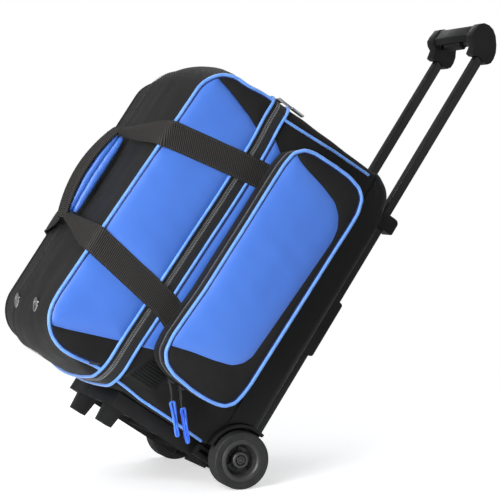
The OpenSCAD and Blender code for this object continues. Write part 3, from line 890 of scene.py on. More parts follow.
def build_lid_gusset():
    spread = np.linspace(-1, 1, 58)
    spread = np.sign(spread) * np.abs(spread) ** 0.85
    rows = []
    for i, ((x, _), (nx, nz)) in enumerate(zip(GUSSET, GUSSET_NORMALS)):
        y_max = HALF_Y - CORNER_CUT * float(corner_radius(x, 1 if nz > 0 else 0))
        ys = spread * y_max
        row = gusset_points(i, ys)
        wrinkle = 0.9 * ripple(row, 95) * (1 - (np.abs(ys) / y_max) ** 6)
        row[:, 0] += nx * wrinkle
        row[:, 2] += nz * wrinkle
        rows.append(row)
    sheet("lid_gusset", np.array(rows), wall=3.4, inner="inner_lining", body="lid",
          replaces="lid_shell", **BLACK)


def build_lid_linings():
    outline = round_rect(LID_X + 4, LID_EDGE, Z_LOW + 4, Z_TOP - 4, [51, 30, 30, 51])
    for side, where in SIDES:
        panel(f"lid_{where}_lining", resample(outline, 8), side * (HALF_Y - 4.5), -side,
              puff=1.5, falloff=12, cell=7, skirt=1.0, dimple=1.2, body="lid",
              mat="inner_lining")


def strap_dent(x, z):
    """Depth pressed into the lid's face under the carry straps."""
    press = np.zeros(len(x))
    t = np.clip((-232 - x) / 152.0, 0, 1)
    for _, z_zip, z_corner, _ in STRAPS.values():
        beyond = np.clip(np.abs(z - (z_zip + (z_corner - z_zip) * t)) - 19, 0, 99)
        press = np.maximum(press, np.exp(-(beyond / 11.0) ** 2))
    return 3.1 * press


def build_lid_face(side, where, outlines, seams):
    def surface(x, z):
        return -side * front_y(x, z)

    panel(f"lid_{where}_mid", outlines["mid"], surface, side, puff=LID_PUFF,
          falloff=LID_FALLOFF, cell=3.0, crown=2.6, dent=strap_dent, body="lid",
          replaces="lid_panel" if side < 0 else None, **FACE_LOOK[side])
    for part in ("low", "top"):
        panel(f"lid_{where}_{part}", outlines[part], surface, side, puff=3.6, falloff=8,
              body="lid", **BLACK)

    # piping, eased outwards where the corners are soft
    x, z = resample(face_seam(-0.4), 3.0, closed=False).T
    upper = z > Z_MID
    softness = np.clip((corner_radius(x, upper) - 4) / 20, 0, 1)
    rim = np.stack([x + np.where(x < LID_X + 30, -0.6, 0), surface(x, z) + side * 1.2,
                    z + np.where(upper, 0.7, -0.7) * softness], 1)
    tube(f"lid_{where}_piping", rim, 2.7, body="lid",
         replaces="lid_piping" if side < 0 else None, **PIPING_LOOK[side])

    if side < 0:
        # dark navy lines just inside the piping and beside the zipper: painted shade in the seam
        # crevices
        groove = face_seam(3.4)
        groove = resample(groove[groove[:, 0] < LID_EDGE - 4], 3.0, closed=False)
        tube("lid_seam_shade_line", front_path(groove[:, 0], groove[:, 1], 1.5), 0.95, body="lid",
             **SEAM_SHADE_LOOK)
        tube("lid_zip_shade_line", front_path(LID_EDGE - 3.4, np.linspace(64, 436, 120), 1.2), 0.7,
             body="lid", **SEAM_SHADE_LOOK)

    inset_by = 2.6
    height = LID_PUFF * (1 - math.exp(-inset_by / LID_FALLOFF)) + 0.35
    for which, seam in seams.items():
        line = seam[3:-3]
        x, z = (line - right_of(tangents(line)) * inset_by).T
        stitch_row(f"lid_{where}_stitch_{which}",
                   np.stack([x, surface(x, z) + side * height, z], 1), (0, side, 0),
                   mat="thread_blue" if side < 0 else "thread_black", body="lid")


def build_lid_faces():
    outline = resample(face_seam(), 2.4)[::-1]      # climbs along the zipper
    low = undrift(smoothed(LID_EDGE_LOW, 3))
    high = undrift(smoothed(LID_EDGE_HIGH, 3))
    a, b, c, d = [nearest(outline, p) for p in (low[0], low[-1], high[0], high[-1])]
    outlines = {
        "low": np.vstack([stretch(outline, a, b), low[::-1][1:-1]]),
        "mid": np.vstack([stretch(outline, b, c), high[1:-1], stretch(outline, d, a),
                          low[1:-1]]),
        "top": np.vstack([stretch(outline, c, d), high[::-1][1:-1]]),
    }
    for side, where in SIDES:
        build_lid_face(side, where, outlines, {"lo": low, "hi": high})


def build_gusset_stitches():
    """Stitch rows on each side of the cross seam, in short lengths that follow the outline."""
    stations = range(2, len(GUSSET) - 2)
    length = 14
    for row, shift in enumerate((-4.2, 4.2)):
        path = np.array([gusset_points(i, SEAM_Y + shift) for i in stations])
        for j in range(0, len(path) - 2, length):
            nx, nz = GUSSET_NORMALS[stations[min(j + length // 2, len(path) - 1)]]
            normal = np.array([nx, 0, nz])
            stitch_row(f"lid_gusset_stitch_{row}_{j}", path[j:j + length + 1] + normal * 0.5,
                       normal, mat="thread_black", body="lid")


# ------------------------------------------------------------------ zipper band
def zip_loop(x, growth=0.0, step=None, far=45.0):
    """Path and normals of the zipper at x, grown outwards: from the lower rear corner along
    the lower end, the front and the upper end. far is the angle it reaches round the rear."""
    r0, r1 = float(corner_radius(x, 0)), float(corner_radius(x, 1))
    rows = []       # y, z and the normal's y, z

    def corner(y, z, radius, start, end, steps):
        for k in range(steps + 1):
            w = math.radians(start + (end - start) * k / steps)
            cos, sin = math.cos(w), math.sin(w)
            rows.append((y + radius * cos, z + radius * sin, cos, sin))

    def edge(start, end, normal, steps):
        for k in range(1, steps):
            t = k / steps
            rows.append((start[0] + (end[0] - start[0]) * t,
                         start[1] + (end[1] - start[1]) * t) + normal)

    y0, y1 = HALF_Y - r0, HALF_Y - r1
    z0, z1 = Z_LOW + r0, Z_TOP - r1
    corner(y0, z0, r0, -far, -90, 8)
    edge((y0, Z_LOW), (-y0, Z_LOW), (0, -1), 40)
    corner(-y0, z0, r0, -90, -180, 16)
    edge((-HALF_Y, z0), (-HALF_Y, z1), (-1, 0), 60)
    corner(-y1, z1, r1, 180, 90, 16)
    edge((-y1, Z_TOP), (y1, Z_TOP), (0, 1), 40)
    corner(y1, z1, r1, 90, far, 8)

    y, z, ny, nz = np.array(rows).T
    path = np.stack([np.full(len(y), x), y + ny * growth,
                     z + nz * growth + end_swell(x, y, z)], 1)
    normals = np.stack([np.zeros(len(y)), ny, nz], 1)
    if step:
        run = run_lengths(path)
        stops = np.linspace(0, run[-1], int(run[-1] / step) + 1)
        path, normals = [np.stack([np.interp(stops, run, v[:, k]) for k in range(3)], 1)
                         for v in (path, normals)]
        normals = unit(normals)
    return path, normals


def zip_band(name, profile, **tags):
    """Tape with the profile of (x, growth) run along the zipper."""
    rows = [zip_loop(x, growth)[0] for x, growth in profile]
    sheet(name, np.array(rows), wall=1.2, angle=50, **tags, **TAPE)


def build_zip_tapes():
    c, lid, body = ZIP_X, LID_EDGE, BODY_EDGE
    zip_band("zip_tape_lid_v", [
        (lid - 1.5, -0.6), (lid + 1.8, -1.0), (lid + 3.2, -0.5), (lid + 3.5, 0.3),
        (c - 4.6, 0.4), (c - 4.2, -0.8), (c - 3, -1.1), (c - 0.6, -1.1),
    ], body="lid", replaces="zip_tape_lid")
    zip_band("zip_tape_body_v", [
        (c + 0.6, -1.1), (c + 3, -1.1), (c + 4.2, -0.8), (c + 4.6, 0.4), (c + 9.8, 0.5),
        (c + 10.1, -0.3), (c + 10.4, 0.5), (body - 3.5, 0.3), (body - 3.2, -0.5),
        (body - 1.8, -1.0), (body + 1.5, -0.6),
    ], body="chassis", replaces="zip_tape_body")


def build_zip_piping():
    for half, x, body in (("lid", LID_EDGE + 0.2, "lid"), ("body", BODY_EDGE - 0.2, "chassis")):
        path, _ = zip_loop(x, 1.5, step=3.0, far=30)
        tube(f"zip_piping_{half}_v", path, 2.6, body=body, replaces=f"zip_piping_{half}", **BEAD)


def build_zip_coils():
    """Teeth of each half, and the stitches holding them to the tape."""
    sections = ((-1.5, 0.75, -0.5, 0.8), (-0.2, 0.7, -0.5, 0.95), (1.1, 0.5, -0.5, 0.5))
    x_axis = np.array([1.0, 0, 0])
    for half, body, toward in (("lid", "lid", 1), ("body", "chassis", -1)):
        stagger = 0.7 if half == "lid" else 0.0
        verts, faces = [], []
        for point, normal in zip(*zip_loop(ZIP_X - 1.5 * toward, -0.2, step=2.8)):
            along = np.cross(normal, x_axis)
            add_tooth(verts, faces, point + along * stagger, along, x_axis * toward, normal,
                      sections, caps=-1)
        make(f"zip_coil_{half}_v", verts, faces, angle=50, body=body,
             replaces=f"zip_coil_{half}", **COIL)

        path, normals = zip_loop(ZIP_X - 3.9 * toward, -0.55, step=3.4)
        verts, faces = [], []
        for point, normal in zip(path[:-1], normals):
            add_stitch(verts, faces, point, np.cross(normal, x_axis) * 2, x_axis * 0.36,
                       normal * 0.4, tip=0.3, crest=1.0)
        make(f"zip_stitch_{half}", verts, faces, mat="thread_grey", angle=70, body=body,
             slot="zip_tape")


def build_hinge():
    """Fabric strip on the rear, over the zipper between lid and body."""
    zs = np.linspace(Z_LOW + 10, Z_TOP - 10, 60)[::-1]
    profile = [     # x, y
        (LID_EDGE - 2, 141.6), (ZIP_X - 8, 141.9), (ZIP_X - 4, 141.2), (ZIP_X, 140.9),
        (ZIP_X + 4, 141.2), (ZIP_X + 12, 141.9), (BODY_EDGE + 2, 141.6),
    ]
    grid = np.array([[(x, y, z) for z in zs] for x, y in profile])
    hinge = sheet("hinge_strip", grid, wall=1.2, **BLACK)
    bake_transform(hinge)


# ------------------------------------------------------------------ lower body
BACK_X = 3.9            # the body's face inside the tray
VENT = np.array([(-224, 10), (-175, 17), (-169, 44), (-188, 55), (-205, 66), (-213, 50)], float)


def back_rounding(x, radius):
    """How far the corner towards +X draws an end face in at x."""
    start = BACK_X - radius
    if x <= start:
        return 0.0
    return radius - math.sqrt(max(radius ** 2 - (x - start) ** 2, 0))


def body_section(x):
    """(y, z) loop of the body at x with a fixed point count."""
    tuck = float(ease((x + 43) / 9.0))      # inside the tray the corners are rounder
    r0 = float(corner_radius(x, 0)) + 8 * tuck
    r1 = float(corner_radius(x, 1)) + 24 * tuck
    z0 = Z_LOW + back_rounding(x, 14)
    z1 = Z_TOP - back_rounding(x, 46)
    points = []

    def corner(y, z, start, radius):
        points.extend(arc(y, z, radius, start, start + 90, 8)[:-1])

    def edge(start, end, steps):
        for k in range(steps):
            t = k / steps
            points.append((start[0] + (end[0] - start[0]) * t,
                           start[1] + (end[1] - start[1]) * t))

    y0, y1 = HALF_Y - r0, HALF_Y - r1
    corner(-y0, z0 + r0, 180, r0)
    edge((-y0, z0), (y0, z0), 34)
    corner(y0, z0 + r0, 270, r0)
    edge((HALF_Y, z0 + r0), (HALF_Y, z1 - r1), 64)
    corner(y1, z1 - r1, 0, r1)
    edge((y1, z1), (-y1, z1), 34)
    corner(-y1, z1 - r1, 90, r1)
    edge((-HALF_Y, z1 - r1), (-HALF_Y, z0 + r0), 64)
    points = np.array(points)
    points[:, 1] += end_swell(x, points[:, 0], points[:, 1], z0, z1)
    return points


def build_body_skin():
    rows = []
    for x in [*np.arange(BODY_EDGE, -40, 4.0), *np.linspace(-40, 3.0, 16)]:
        section = body_section(x)
        row = np.stack([np.full(len(section), x), section[:, 0], section[:, 1]], 1)
        fade = 0.9 * ease((x - BODY_EDGE) / 20) * (1 - ease((x + 70) / 20))
        wrinkle = ripple(row, 80) * fade
        on_face = np.abs(row[:, 1]) > HALF_Y - 1.5
        row[:, 1] += np.sign(row[:, 1]) * np.where(on_face, wrinkle, 0)
        row[:, 2] += np.where(~on_face, np.sign(row[:, 2] - Z_MID) * wrinkle, 0)
        rows.append(row)
    skin = sheet("body_skin", np.array(rows).transpose(1, 0, 2), wall=3.2,
                 inner="inner_lining", close=True, recalc=True, body="chassis",
                 replaces="lower_shell", **BLACK)
    for side in (-1, 1):
        cut_wheel_well(skin, f"well_cut_{side}", y=side * 140, radius=56.3, segments=64)


def build_body_piping():
    """Piping along the four long edges of the body."""
    edges = (       # end, name, last x, stations of x and height in from the end face
        (0, "low", -62, [-228, -182, -126, -67], [9.5, 4.2, 2.4, 0.8]),
        (1, "top", -56, [-228, -197, -129, -57], [21, 18.8, 13.4, 10.8]),
    )
    for side, where in SIDES:
        for end, edge, last_x, stations, heights in edges:
            outward = 1 if end else -1
            path = []
            for x in np.arange(BODY_EDGE - 0.5, last_x, 4.0):
                radius = float(corner_radius(x, end))
                height = float(np.interp(x, stations, heights))
                w = math.asin(min(max(1 - height / radius, 0.0), 1.0))
                y = side * (HALF_Y - radius * (1 - math.cos(w)) + 1.5 * math.cos(w))
                bulge = float(end_bulge(x, y, end)) * max(1 - height / 40, 0)
                z_end = Z_TOP if end else Z_LOW
                path.append((x, y, z_end + outward * (1.5 * math.sin(w) - height + bulge)))
            tube(f"body_piping_{edge}_{where}", smoothed(path, 3.0), 2.4, body="chassis",
                 **PIPING_LOOK[side])


def strip_surface(x, z):
    return front_y(x, z) - 0.3


def build_front_strip():
    """Blue strip along the zipper."""
    outline = [(-226.5, 63.5), (-205.5, 70), (-204.5, 100), (-203.5, 250), (-202.5, 400),
               (-202.5, 436), (-226.5, 450), (-226.5, 300)]
    panel("front_strip_v", smoothed(outline, 3.0, closed=True, times=1), strip_surface, -1,
          puff=3.4, falloff=5, cell=2.2, dimple=0.3, body="chassis", replaces="front_strip",
          **BLUE)
    # dark navy line beside the zipper piping: painted shade in the seam crevice
    tube("front_strip_shade_line", front_path(BODY_EDGE + 4.2, np.linspace(66, 446, 130), 1.9),
         0.85, body="chassis", **SEAM_SHADE_LOOK)


def build_vent():
    """Ribbed patch in the lower front corner."""
    panel("vent_patch_v", smoothed(VENT, 2.0, closed=True, times=1), strip_surface, -1,
          puff=1.6, falloff=3, cell=1.8, dimple=0.0, body="chassis", replaces="vent_patch",
          **RIBBED)
    xs = np.arange(-222, -166, 1.5)
    for k in range(10):
        z = 14.5 + k * 4.8
        row = np.stack([xs, np.full(len(xs), z)], 1)
        kept = xs[inside(row, VENT) & (outline_distance(row, VENT)[0] > 3.2)]
        if len(kept) > 4:
            tube(f"vent_rib_{k}", front_path(kept, z, 2.3), 1.25, sides=8, body="chassis",
                 **RIBBED)


# ------------------------------------------------------------------ base tray
TRAY_X, TRAY_RIM_X = 7, -43.0           # outer face and open edge
TRAY_LOW, TRAY_TOP = -34.0, 509.0
TRAY_HALF_Y = 144.0


def tray_grid():
    """Outer surface: the outline in x and z, rounded over at both sides."""
    p = [(TRAY_RIM_X, TRAY_LOW)]
    p += arc(TRAY_X - 10, TRAY_LOW + 10, 10, 270, 360, 8)
    p += arc(TRAY_X - 46, TRAY_TOP - 46, 46, 0, 90, 20)
    p += [(TRAY_RIM_X, TRAY_TOP)]
    p = resample(p, 6.0, closed=False)
    normals = right_of(tangents(p))
    # side edges: tight on the straights, a ball at the top corners
    radii = 13.0 + 19.0 * ease((p[:, 1] - 425) / 45) * (1 - 0.5 * ease((-20 - p[:, 0]) / 23))
    turn = np.radians(np.linspace(90, 0, 9))
    middle = np.linspace(-1, 1, 24)[1:-1]
    rows = []
    for (x, z), (nx, nz), radius in zip(p, normals, radii):
        flat = TRAY_HALF_Y - radius
        y_edge = -flat - radius * np.sin(turn)
        edge = -(radius - radius * np.cos(turn))
        ys = np.r_[y_edge, middle * flat, -y_edge[::-1]]
        out = np.r_[edge, np.zeros(len(middle)), edge[::-1]]
        rows.append(np.stack([x + nx * out, ys, z + nz * out], 1))
    return np.array(rows)


def build_tray():
    grid = tray_grid()
    rows, cols = grid.shape[:2]
    verts = list(grid.reshape(-1, 3))
    faces = grid_faces(rows, cols)
    # side walls from the rounded edge to the open rim
    for side, col in ((-1, 0), (1, cols - 1)):
        base = len(verts)
        for point in grid[:, col]:
            z = float(np.clip(point[2], TRAY_LOW, TRAY_TOP))
            verts.append((TRAY_RIM_X, side * (TRAY_HALF_Y - 1.2), z))
        for i in range(rows - 1):
            a = i * cols + col
            faces.append((a, a + cols, base + i + 1, base + i))
    tray = make("tray_v", verts, faces, mat="gloss_tray", body="chassis", angle=35,
                replaces="base_tray", slot="tray_plastic", recalc=False)

    bm = bmesh.new()
    bm.from_mesh(tray.data)
    bmesh.ops.remove_doubles(bm, verts=bm.verts, dist=1e-5)
    bmesh.ops.dissolve_degenerate(bm, edges=bm.edges, dist=1e-6)
    bmesh.ops.recalc_face_normals(bm, faces=bm.faces)
    # the shell is open, so make sure its +X face looks outwards
    facing = sum(f.normal.x * f.calc_area() for f in bm.faces
                 if f.calc_center_median().x > 0.006)
    if facing < 0:
        bmesh.ops.reverse_faces(bm, faces=bm.faces)
    bm.to_mesh(tray.data)
    bm.free()

    add_wall(tray, 3.0)
    for name, side in (("l", -1), ("r", 1)):
        cut_wheel_well(tray, "tray_cut_" + name, y=side * 142, radius=56, segments=72)
    # opening between the wheels
    place = Matrix.Translation((-0.028, 0, -0.0245)) @ Matrix.Diagonal((0.064, 0.225, 0.0312, 1))
    subtract(tray, "gap", "tray_cut_mid", bmesh.ops.create_cube, size=1, matrix=place)


# ------------------------------------------------------------------ pocket
# outline (x, z), counter-clockwise
POCKET = [
    (-183, 50.4), (-145, 46.2), (-121, 46.1), (-102.4, 48.1), (-85.5, 53.2), (-74.2, 65.3),
    (-70.1, 83.8), (-68.3, 102), (-66.8, 180), (-65, 270), (-63.5, 353), (-62.2, 392),
    (-62.6, 419), (-69.2, 441.2), (-82.4, 452.1), (-106.2, 457.2), (-137.2, 457),
    (-175, 454.6), (-192, 449.6), (-205.0, 435.5), (-208.8, 413), (-209.4, 380),
    (-209.8, 300), (-211.4, 183), (-214.6, 135), (-216.6, 98), (-213.5, 73), (-201.9, 58.3),
]
# border (x, z) between the blue and the black panel of the flap
POCKET_BORDER = [
    (-216, 83.0), (-207, 85.5), (-179, 93.5), (-143, 101), (-112, 110), (-98, 122),
    (-90, 138), (-88, 165), (-82, 250), (-76, 340), (-75, 358), (-78, 379), (-89, 397),
    (-106, 410), (-136, 419), (-173, 426), (-190, 431), (-199, 436), (-206, 443),
]
POCKET_OUTLINE = smoothed(POCKET, 2.2, closed=True, times=6)


def pocket_band(name, points, normals, ys, growths, **tags):
    """Wall of the pocket: rows at the depths ys, each grown outwards."""
    grid = np.array([[(p[0] + n[0] * growth, y, p[1] + n[1] * growth)
                      for y, growth in zip(ys, growths)] for p, n in zip(points, normals)])
    sheet(name, grid, recalc=True, **tags)


def build_pocket_walls():
    points = resample(POCKET_OUTLINE, 2.2)
    normals = right_of(tangents(points, closed=True))
    # the zipper leaves out the straight +X side
    gap = (points[:, 0] > -72) & (points[:, 1] > 66) & (points[:, 1] < 440)
    start = int(np.argmax(gap & ~np.roll(gap, -1))) + 1
    order = (np.arange(len(points)) + start) % len(points)
    order = order[~gap[order]]
    around = dict(points=points, normals=normals, close=True, wall=2.4, **BLACK)
    zipped = dict(points=points[order], normals=normals[order], wall=1.2, **TAPE)

    pocket_band("pocket_gusset_v", ys=np.linspace(-HALF_Y - 0.2, -168.0, 9),
                growths=0.2 + 1.3 * np.sin(np.linspace(0, math.pi, 9)), body="chassis",
                replaces="pocket_gusset", **around)
    pocket_band("pocket_zip_v", ys=[-168.0, -168.8, -171.0], growths=[0.0, 0.6, 0.5],
                body="chassis", replaces="pocket_zip", **zipped)
    pocket_band("pocket_zip_flap_tape", ys=[-171.9, -174.0, -174.6], growths=[0.5, 0.6, 0.0],
                body="pocket", **zipped)
    pocket_band("pocket_flap_gusset", ys=np.linspace(-174.6, -196.2, 8),
                growths=0.2 + 1.2 * np.sin(np.linspace(0, math.pi, 8)), body="pocket",
                replaces="pocket_flap", **around)


def build_pocket_coil():
    """Zipper teeth on the three opening sides."""
    sections = ((-0.1, 0.55, 0.2, 1.0), (1.3, 0.62, 0.2, 1.5), (2.2, 0.5, 0.2, 1.1))
    verts, faces = [], []
    points = resample(POCKET_OUTLINE, 2.4)
    runs = tangents(points, closed=True)
    for (x, z), run, out in zip(points, runs, right_of(runs)):
        if x > -80 and 62 < z < 444:
            continue
        add_tooth(verts, faces, np.array([x, -171.0, z]), np.array([run[0], 0, run[1]]),
                  np.array([0, 1, 0]), np.array([out[0], 0, out[1]]), sections, caps=1)
    make("pocket_zip_coil", verts, faces, angle=50, body="chassis", **COIL)


def build_pocket_face():
    outline = resample(offset(POCKET_OUTLINE, -1.0), 2.2)

    def surface(x, z):
        distance, _ = outline_distance(np.stack([x, z], 1), outline)
        return POCKET_Y + 1.3 - 5.0 * (1 - np.exp(-distance / 26.0))

    puff, falloff = 3.8, 8
    border = smoothed(POCKET_BORDER, 2.6, times=4)
    a, b = nearest(outline, border[0]), nearest(outline, border[-1])
    blue = np.vstack([border[1:-1], stretch(outline, b, a)])
    black = np.vstack([stretch(outline, a, b), border[::-1][1:-1]])
    panel("pocket_panel_v", blue, surface, -1, puff=puff, falloff=falloff, cell=2.8, crown=2.2,
          body="pocket", replaces="pocket_panel", **BLUE)
    panel("pocket_panel_black", black, surface, -1, puff=2.6, falloff=6, cell=2.4,
          body="pocket", **BLACK)

    x, z = resample(offset(POCKET_OUTLINE, 0.3), 2.6).T
    tube("pocket_piping_v", np.stack([x, np.full(len(x), POCKET_Y - 0.4), z], 1), 2.8,
         closed=True, body="pocket", replaces="pocket_piping", **BEAD)
    # dark navy line just inside the piping: painted shade in the seam crevice
    x, z = resample(offset(POCKET_OUTLINE, -3.4), 2.6).T
    tube("pocket_shade_line", np.stack([x, surface(x, z) - 1.1, z], 1), 0.9, closed=True,
         body="pocket", **SEAM_SHADE_LOOK)
    panel("pocket_lining", resample(offset(POCKET_OUTLINE, -3.2), 8), POCKET_Y + 5.5, 1,
          puff=0.8, falloff=12, cell=8, skirt=0.8, dimple=0.8, body="pocket",
          mat="inner_lining")

    # stitches beside the border
    inset_by = 2.2
    line = border[2:-2]
    line = line - right_of(tangents(line)) * inset_by
    line = line[inside(line, outline) & (outline_distance(line, outline)[0] > 4)]
    x, z = line.T
    ys = surface(x, z) - puff * (1 - math.exp(-inset_by / falloff)) - 0.3
    stitch_row("pocket_stitch", np.stack([x, ys, z], 1), (0, -1, 0), mat="thread_blue",
               body="pocket")


# ------------------------------------------------------------------ straps and carry handles
# run of a strap over the lid's end: y, x, share of the corner's shift in x, width, cupping
STRAP_END = (
    (124, -391.6, 0.8, 41, 1.0), (105, -393.2, 0.5, 38, 2.0), (84, -395.5, 0.2, 33.5, 3.2),
    (62, -398.8, 0, 27.5, 4.2), (42, -402.6, 0, 21.5, 4.6), (25, -406.5, 0, 17, 4.2),
    (13, -409.5, 0, 14.5, 3.4),
)


def strap_stations(side, z_sewn, z_zip, z_corner, z_grip):
    """Rows of x, |y|, z, width and cupping."""
    front = side < 0
    if not front:
        z_corner = z_grip
    shift = float(np.interp(z_corner, [137, 185, 331, 400], [0.0, 1.0, 5.0, 8.0]))
    shift = shift if front else 6.5
    toward = 1 if z_grip > z_corner else -1
    rows = [
        (-206.0 if front else -62.0, 143.6,
         z_zip + (z_sewn - z_zip) * (0.9 if front else 0), 43, 0),
        (-228, 144.8, z_zip + (z_sewn - z_zip) * (0.15 if front else 0), 43, 0),
    ]
    for t in np.linspace(0.04, 0.93, 9):
        rows.append((-232 - 152 * t, 145.6 + 0.8 * math.sin(math.pi * t),
                     z_zip + (z_corner - z_zip) * t, 43, 0))
    rows += [
        (-382.5 + shift, 146.0, z_corner, 43, 0),
        (-387.6 + shift, 144.0, z_corner + 0.3 * toward, 43, 0.2),
        (-390.4 + shift, 139.0, z_corner + toward, 42.5, 0.5),
    ]
    for y, x, share, width, cup in STRAP_END:
        t = (HALF_Y - y) / 128.0
        rows.append((x + share * shift, y, z_corner + (z_grip - z_corner) * t ** 1.15, width,
                     cup))
    return rows


def build_strap(side, where, key):
    def hang(obj):
        """Bakes the placement into the mesh."""
        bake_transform(obj)

    stations = smoothed(strap_stations(side, *STRAPS[key]), 3.2, times=2)
    width, cup = stations[:, 3], stations[:, 4]
    path = stations[:, :3] * [1, side, 1]
    run = tangents(path)
    across = unit(np.array([0.0, 0.0, 1.0]) - run[:, 2:] * run)
    strap = ribbon(f"strap_{where}_{key}", path, width, across, -side * cup,
                   mat="twill_webbing", slot="webbing")
    hang(strap)
    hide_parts(where + "_straps")
    if side < 0:
        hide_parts("fixed_straps")
    # stitch rows along both selvedges of the flat part
    for edge in (-1, 1):
        row = (path + across * (edge * (width / 2 - 3.0))[:, None])[path[:, 0] > -383]
        row[:, 1] += side * 1.15
        hang(stitch_row(f"strap_{where}_{key}_stitch_{edge + 1}", row, (0, side, 0),
                        mat="thread_black", pitch=4.6, length=2.9, radius=0.34))


def squarish(value, power):
    """Sine or cosine raised to a power with its sign kept, to square off a circle."""
    return math.copysign(abs(value) ** power, value)


def circle(sides):
    turns = [2 * math.pi * k / sides for k in range(sides)]
    return [(math.cos(w), math.sin(w)) for w in turns]


def build_grip(side, where):
    """Two stuffed rolls side by side, and the webbing wrapped over them."""
    y_mid = side * 11.0
    rings, sides = 52, 22
    rolls = (   # tag, x, bow, half sizes in x and y, z range, power of the end taper
        ("a", -398.4, 2.6, 8.2, 10.4, 195, 336, 0.26),
        ("b", -407.0, 5.0, 7.4, 9.8, 190, 340, 0.34),
    )
    for name, x, bow, half_x, half_y, z0, z1, power in rolls:
        verts = []
        for u in 0.5 - 0.5 * np.cos(np.linspace(0, math.pi, rings)):
            belly = np.clip(np.sin(np.pi * u), 0, 1)
            rx = 0.6 + (half_x - 0.6) * belly ** power
            ry = 0.6 + (half_y - 0.6) * belly ** power
            verts += [(x - bow * belly + rx * squarish(c, 0.9), y_mid + ry * squarish(s, 0.9),
                       z0 + (z1 - z0) * u) for c, s in circle(sides)]
        verts = np.array(verts)
        verts += 0.4 * ripple(verts, 26)[:, None] * np.array([1, 1, 0])
        make(f"{where}_handle_pad_{name}".replace("handle", "handle"), verts,
             ring_faces(rings, sides, caps=-1), angle=70, body=where + "_handle",
             replaces=where + "_grip" if name == "a" else None, **BLUE) \
            if False else make(f"{where}_pad_{name}", verts, ring_faces(rings, sides, caps=-1),
                               angle=70, body=where + "_handle",
                               replaces=where + "_grip" if name == "a" else None, **BLUE)

    sides = 18
    zs = np.linspace(178, 347, rings)
    bow = np.array([math.sin(math.pi * ((z - 178) / 169.0)) for z in zs])
    path = np.stack([-409.0 - 15.5 * bow ** 0.8, np.full(rings, y_mid), zs], 1)
    widths = 14 + 8.5 * bow ** 0.5
    thicks = 3.2 + 1.6 * bow
    verts = []
    for point, run, width, thick in zip(path, tangents(path), widths, thicks):
        out = np.array([-run[2], 0, run[0]])
        verts += [point + out * (thick * squarish(c, 0.8) - 2.6 * s ** 2)
                  + np.array([0, width / 2 * squarish(s, 0.8), 0]) for c, s in circle(sides)]
    uv = np.stack([np.repeat(zs * MM, sides),
                   np.tile(np.arange(sides) / sides * 0.05, rings)], 1)
    make(f"{where}_wrap", verts, ring_faces(rings, sides, caps=-1), mat="twill_webbing",
         body=where + "_handle", uv=uv, angle=60, slot="webbing")


def build_tacks():
    """Crossed box stitching on the sewn-down strap ends at the rear."""
    x0, x1, y, half = -93, -65, 146.8, 17
    for _, z, _, _ in STRAPS.values():
        low, top = z - half, z + half
        rows = {
            "box": [(x0, y, low), (x1, y, low), (x1, y, top), (x0, y, top)],
            "cross": [(x0, y, low), (x1, y, top)],
            "crosb": [(x0, y, top), (x1, y, low)],
        }
        tacks = {name: stitch_row(f"tack_{name}_{z}", path, (0, 1, 0), closed=name == "box",
                                  pitch=3.6, length=2.6, radius=0.5, mat="thread_black",
                                  body="chassis")
                 for name, path in rows.items()}
        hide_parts("strap_tacks")


# ------------------------------------------------------------------ small parts
def build_eyelets():
    """Two metal eyelets in the lower corner of the lid's end."""
    ring = [(6.0, -2.4), (6.0, 1.4), (6.9, 2.3), (9.2, 2.6), (11.3, 1.9), (12.4, 0.5),
            (12.0, 0.0), (7.4, 0.0), (7.4, -2.4)]
    hole = [(0.01, 0.1), (6.2, 0.15), (6.2, -1.5), (0.01, -1.5)]
    i = nearest(GUSSET, np.array([LID_X + 1, 38.5]))
    nx, nz = GUSSET_NORMALS[i]
    tip = math.radians(16)
    cos, sin = math.cos(tip), math.sin(tip)
    axis = np.array([nx * cos - nz * sin, 0.0, nx * sin + nz * cos])
    for k, y in enumerate((-64, 58)):
        origin = gusset_points(i, y)
        lathe(f"eyelet_{k}", ring, origin, axis, segments=40, mat="bright_nickel",
              slot="silver", replaces="eyelets" if k == 0 else None)
        lathe(f"eyelet_hole_{k}", hole, origin, axis, segments=24, mat="black_foam")


def square_tube(name, y, half, radius, z0, z1, **tags):
    """Upright square tube with rounded edges and slightly drawn-in ends."""
    c = half - radius
    outline = []
    for start, sx, sy in ((0, 1, 1), (90, -1, 1), (180, -1, -1), (270, 1, -1)):
        outline += arc(sx * c, sy * c, radius, start, start + 90, 6)
    levels = ((z0, 0.94), (z0 + 0.8, 1.0), (z1 - 0.8, 1.0), (z1, 0.94))
    verts = [(TUBE_X + px * s, y + py * s, z) for z, s in levels for px, py in outline]
    make(name, verts, ring_faces(4, len(outline), caps=-1), mat="gloss_tube", angle=30,
         slot="tube_paint", **tags)


def build_trolley_tubes():
    for side, where in ((-1, "near"), (1, "far")):
        square_tube(f"tube_{where}", side * TUBE_Y, half=8.0, radius=3.0, z0=300.5, z1=819.5,
                    body="trolley", replaces="inner_tubes" if side < 0 else None)
        square_tube(f"rail_{where}", side * TUBE_Y, half=9.75, radius=3.2, z0=-20, z1=462,
                    body="chassis", replaces="outer_tubes" if side < 0 else None)


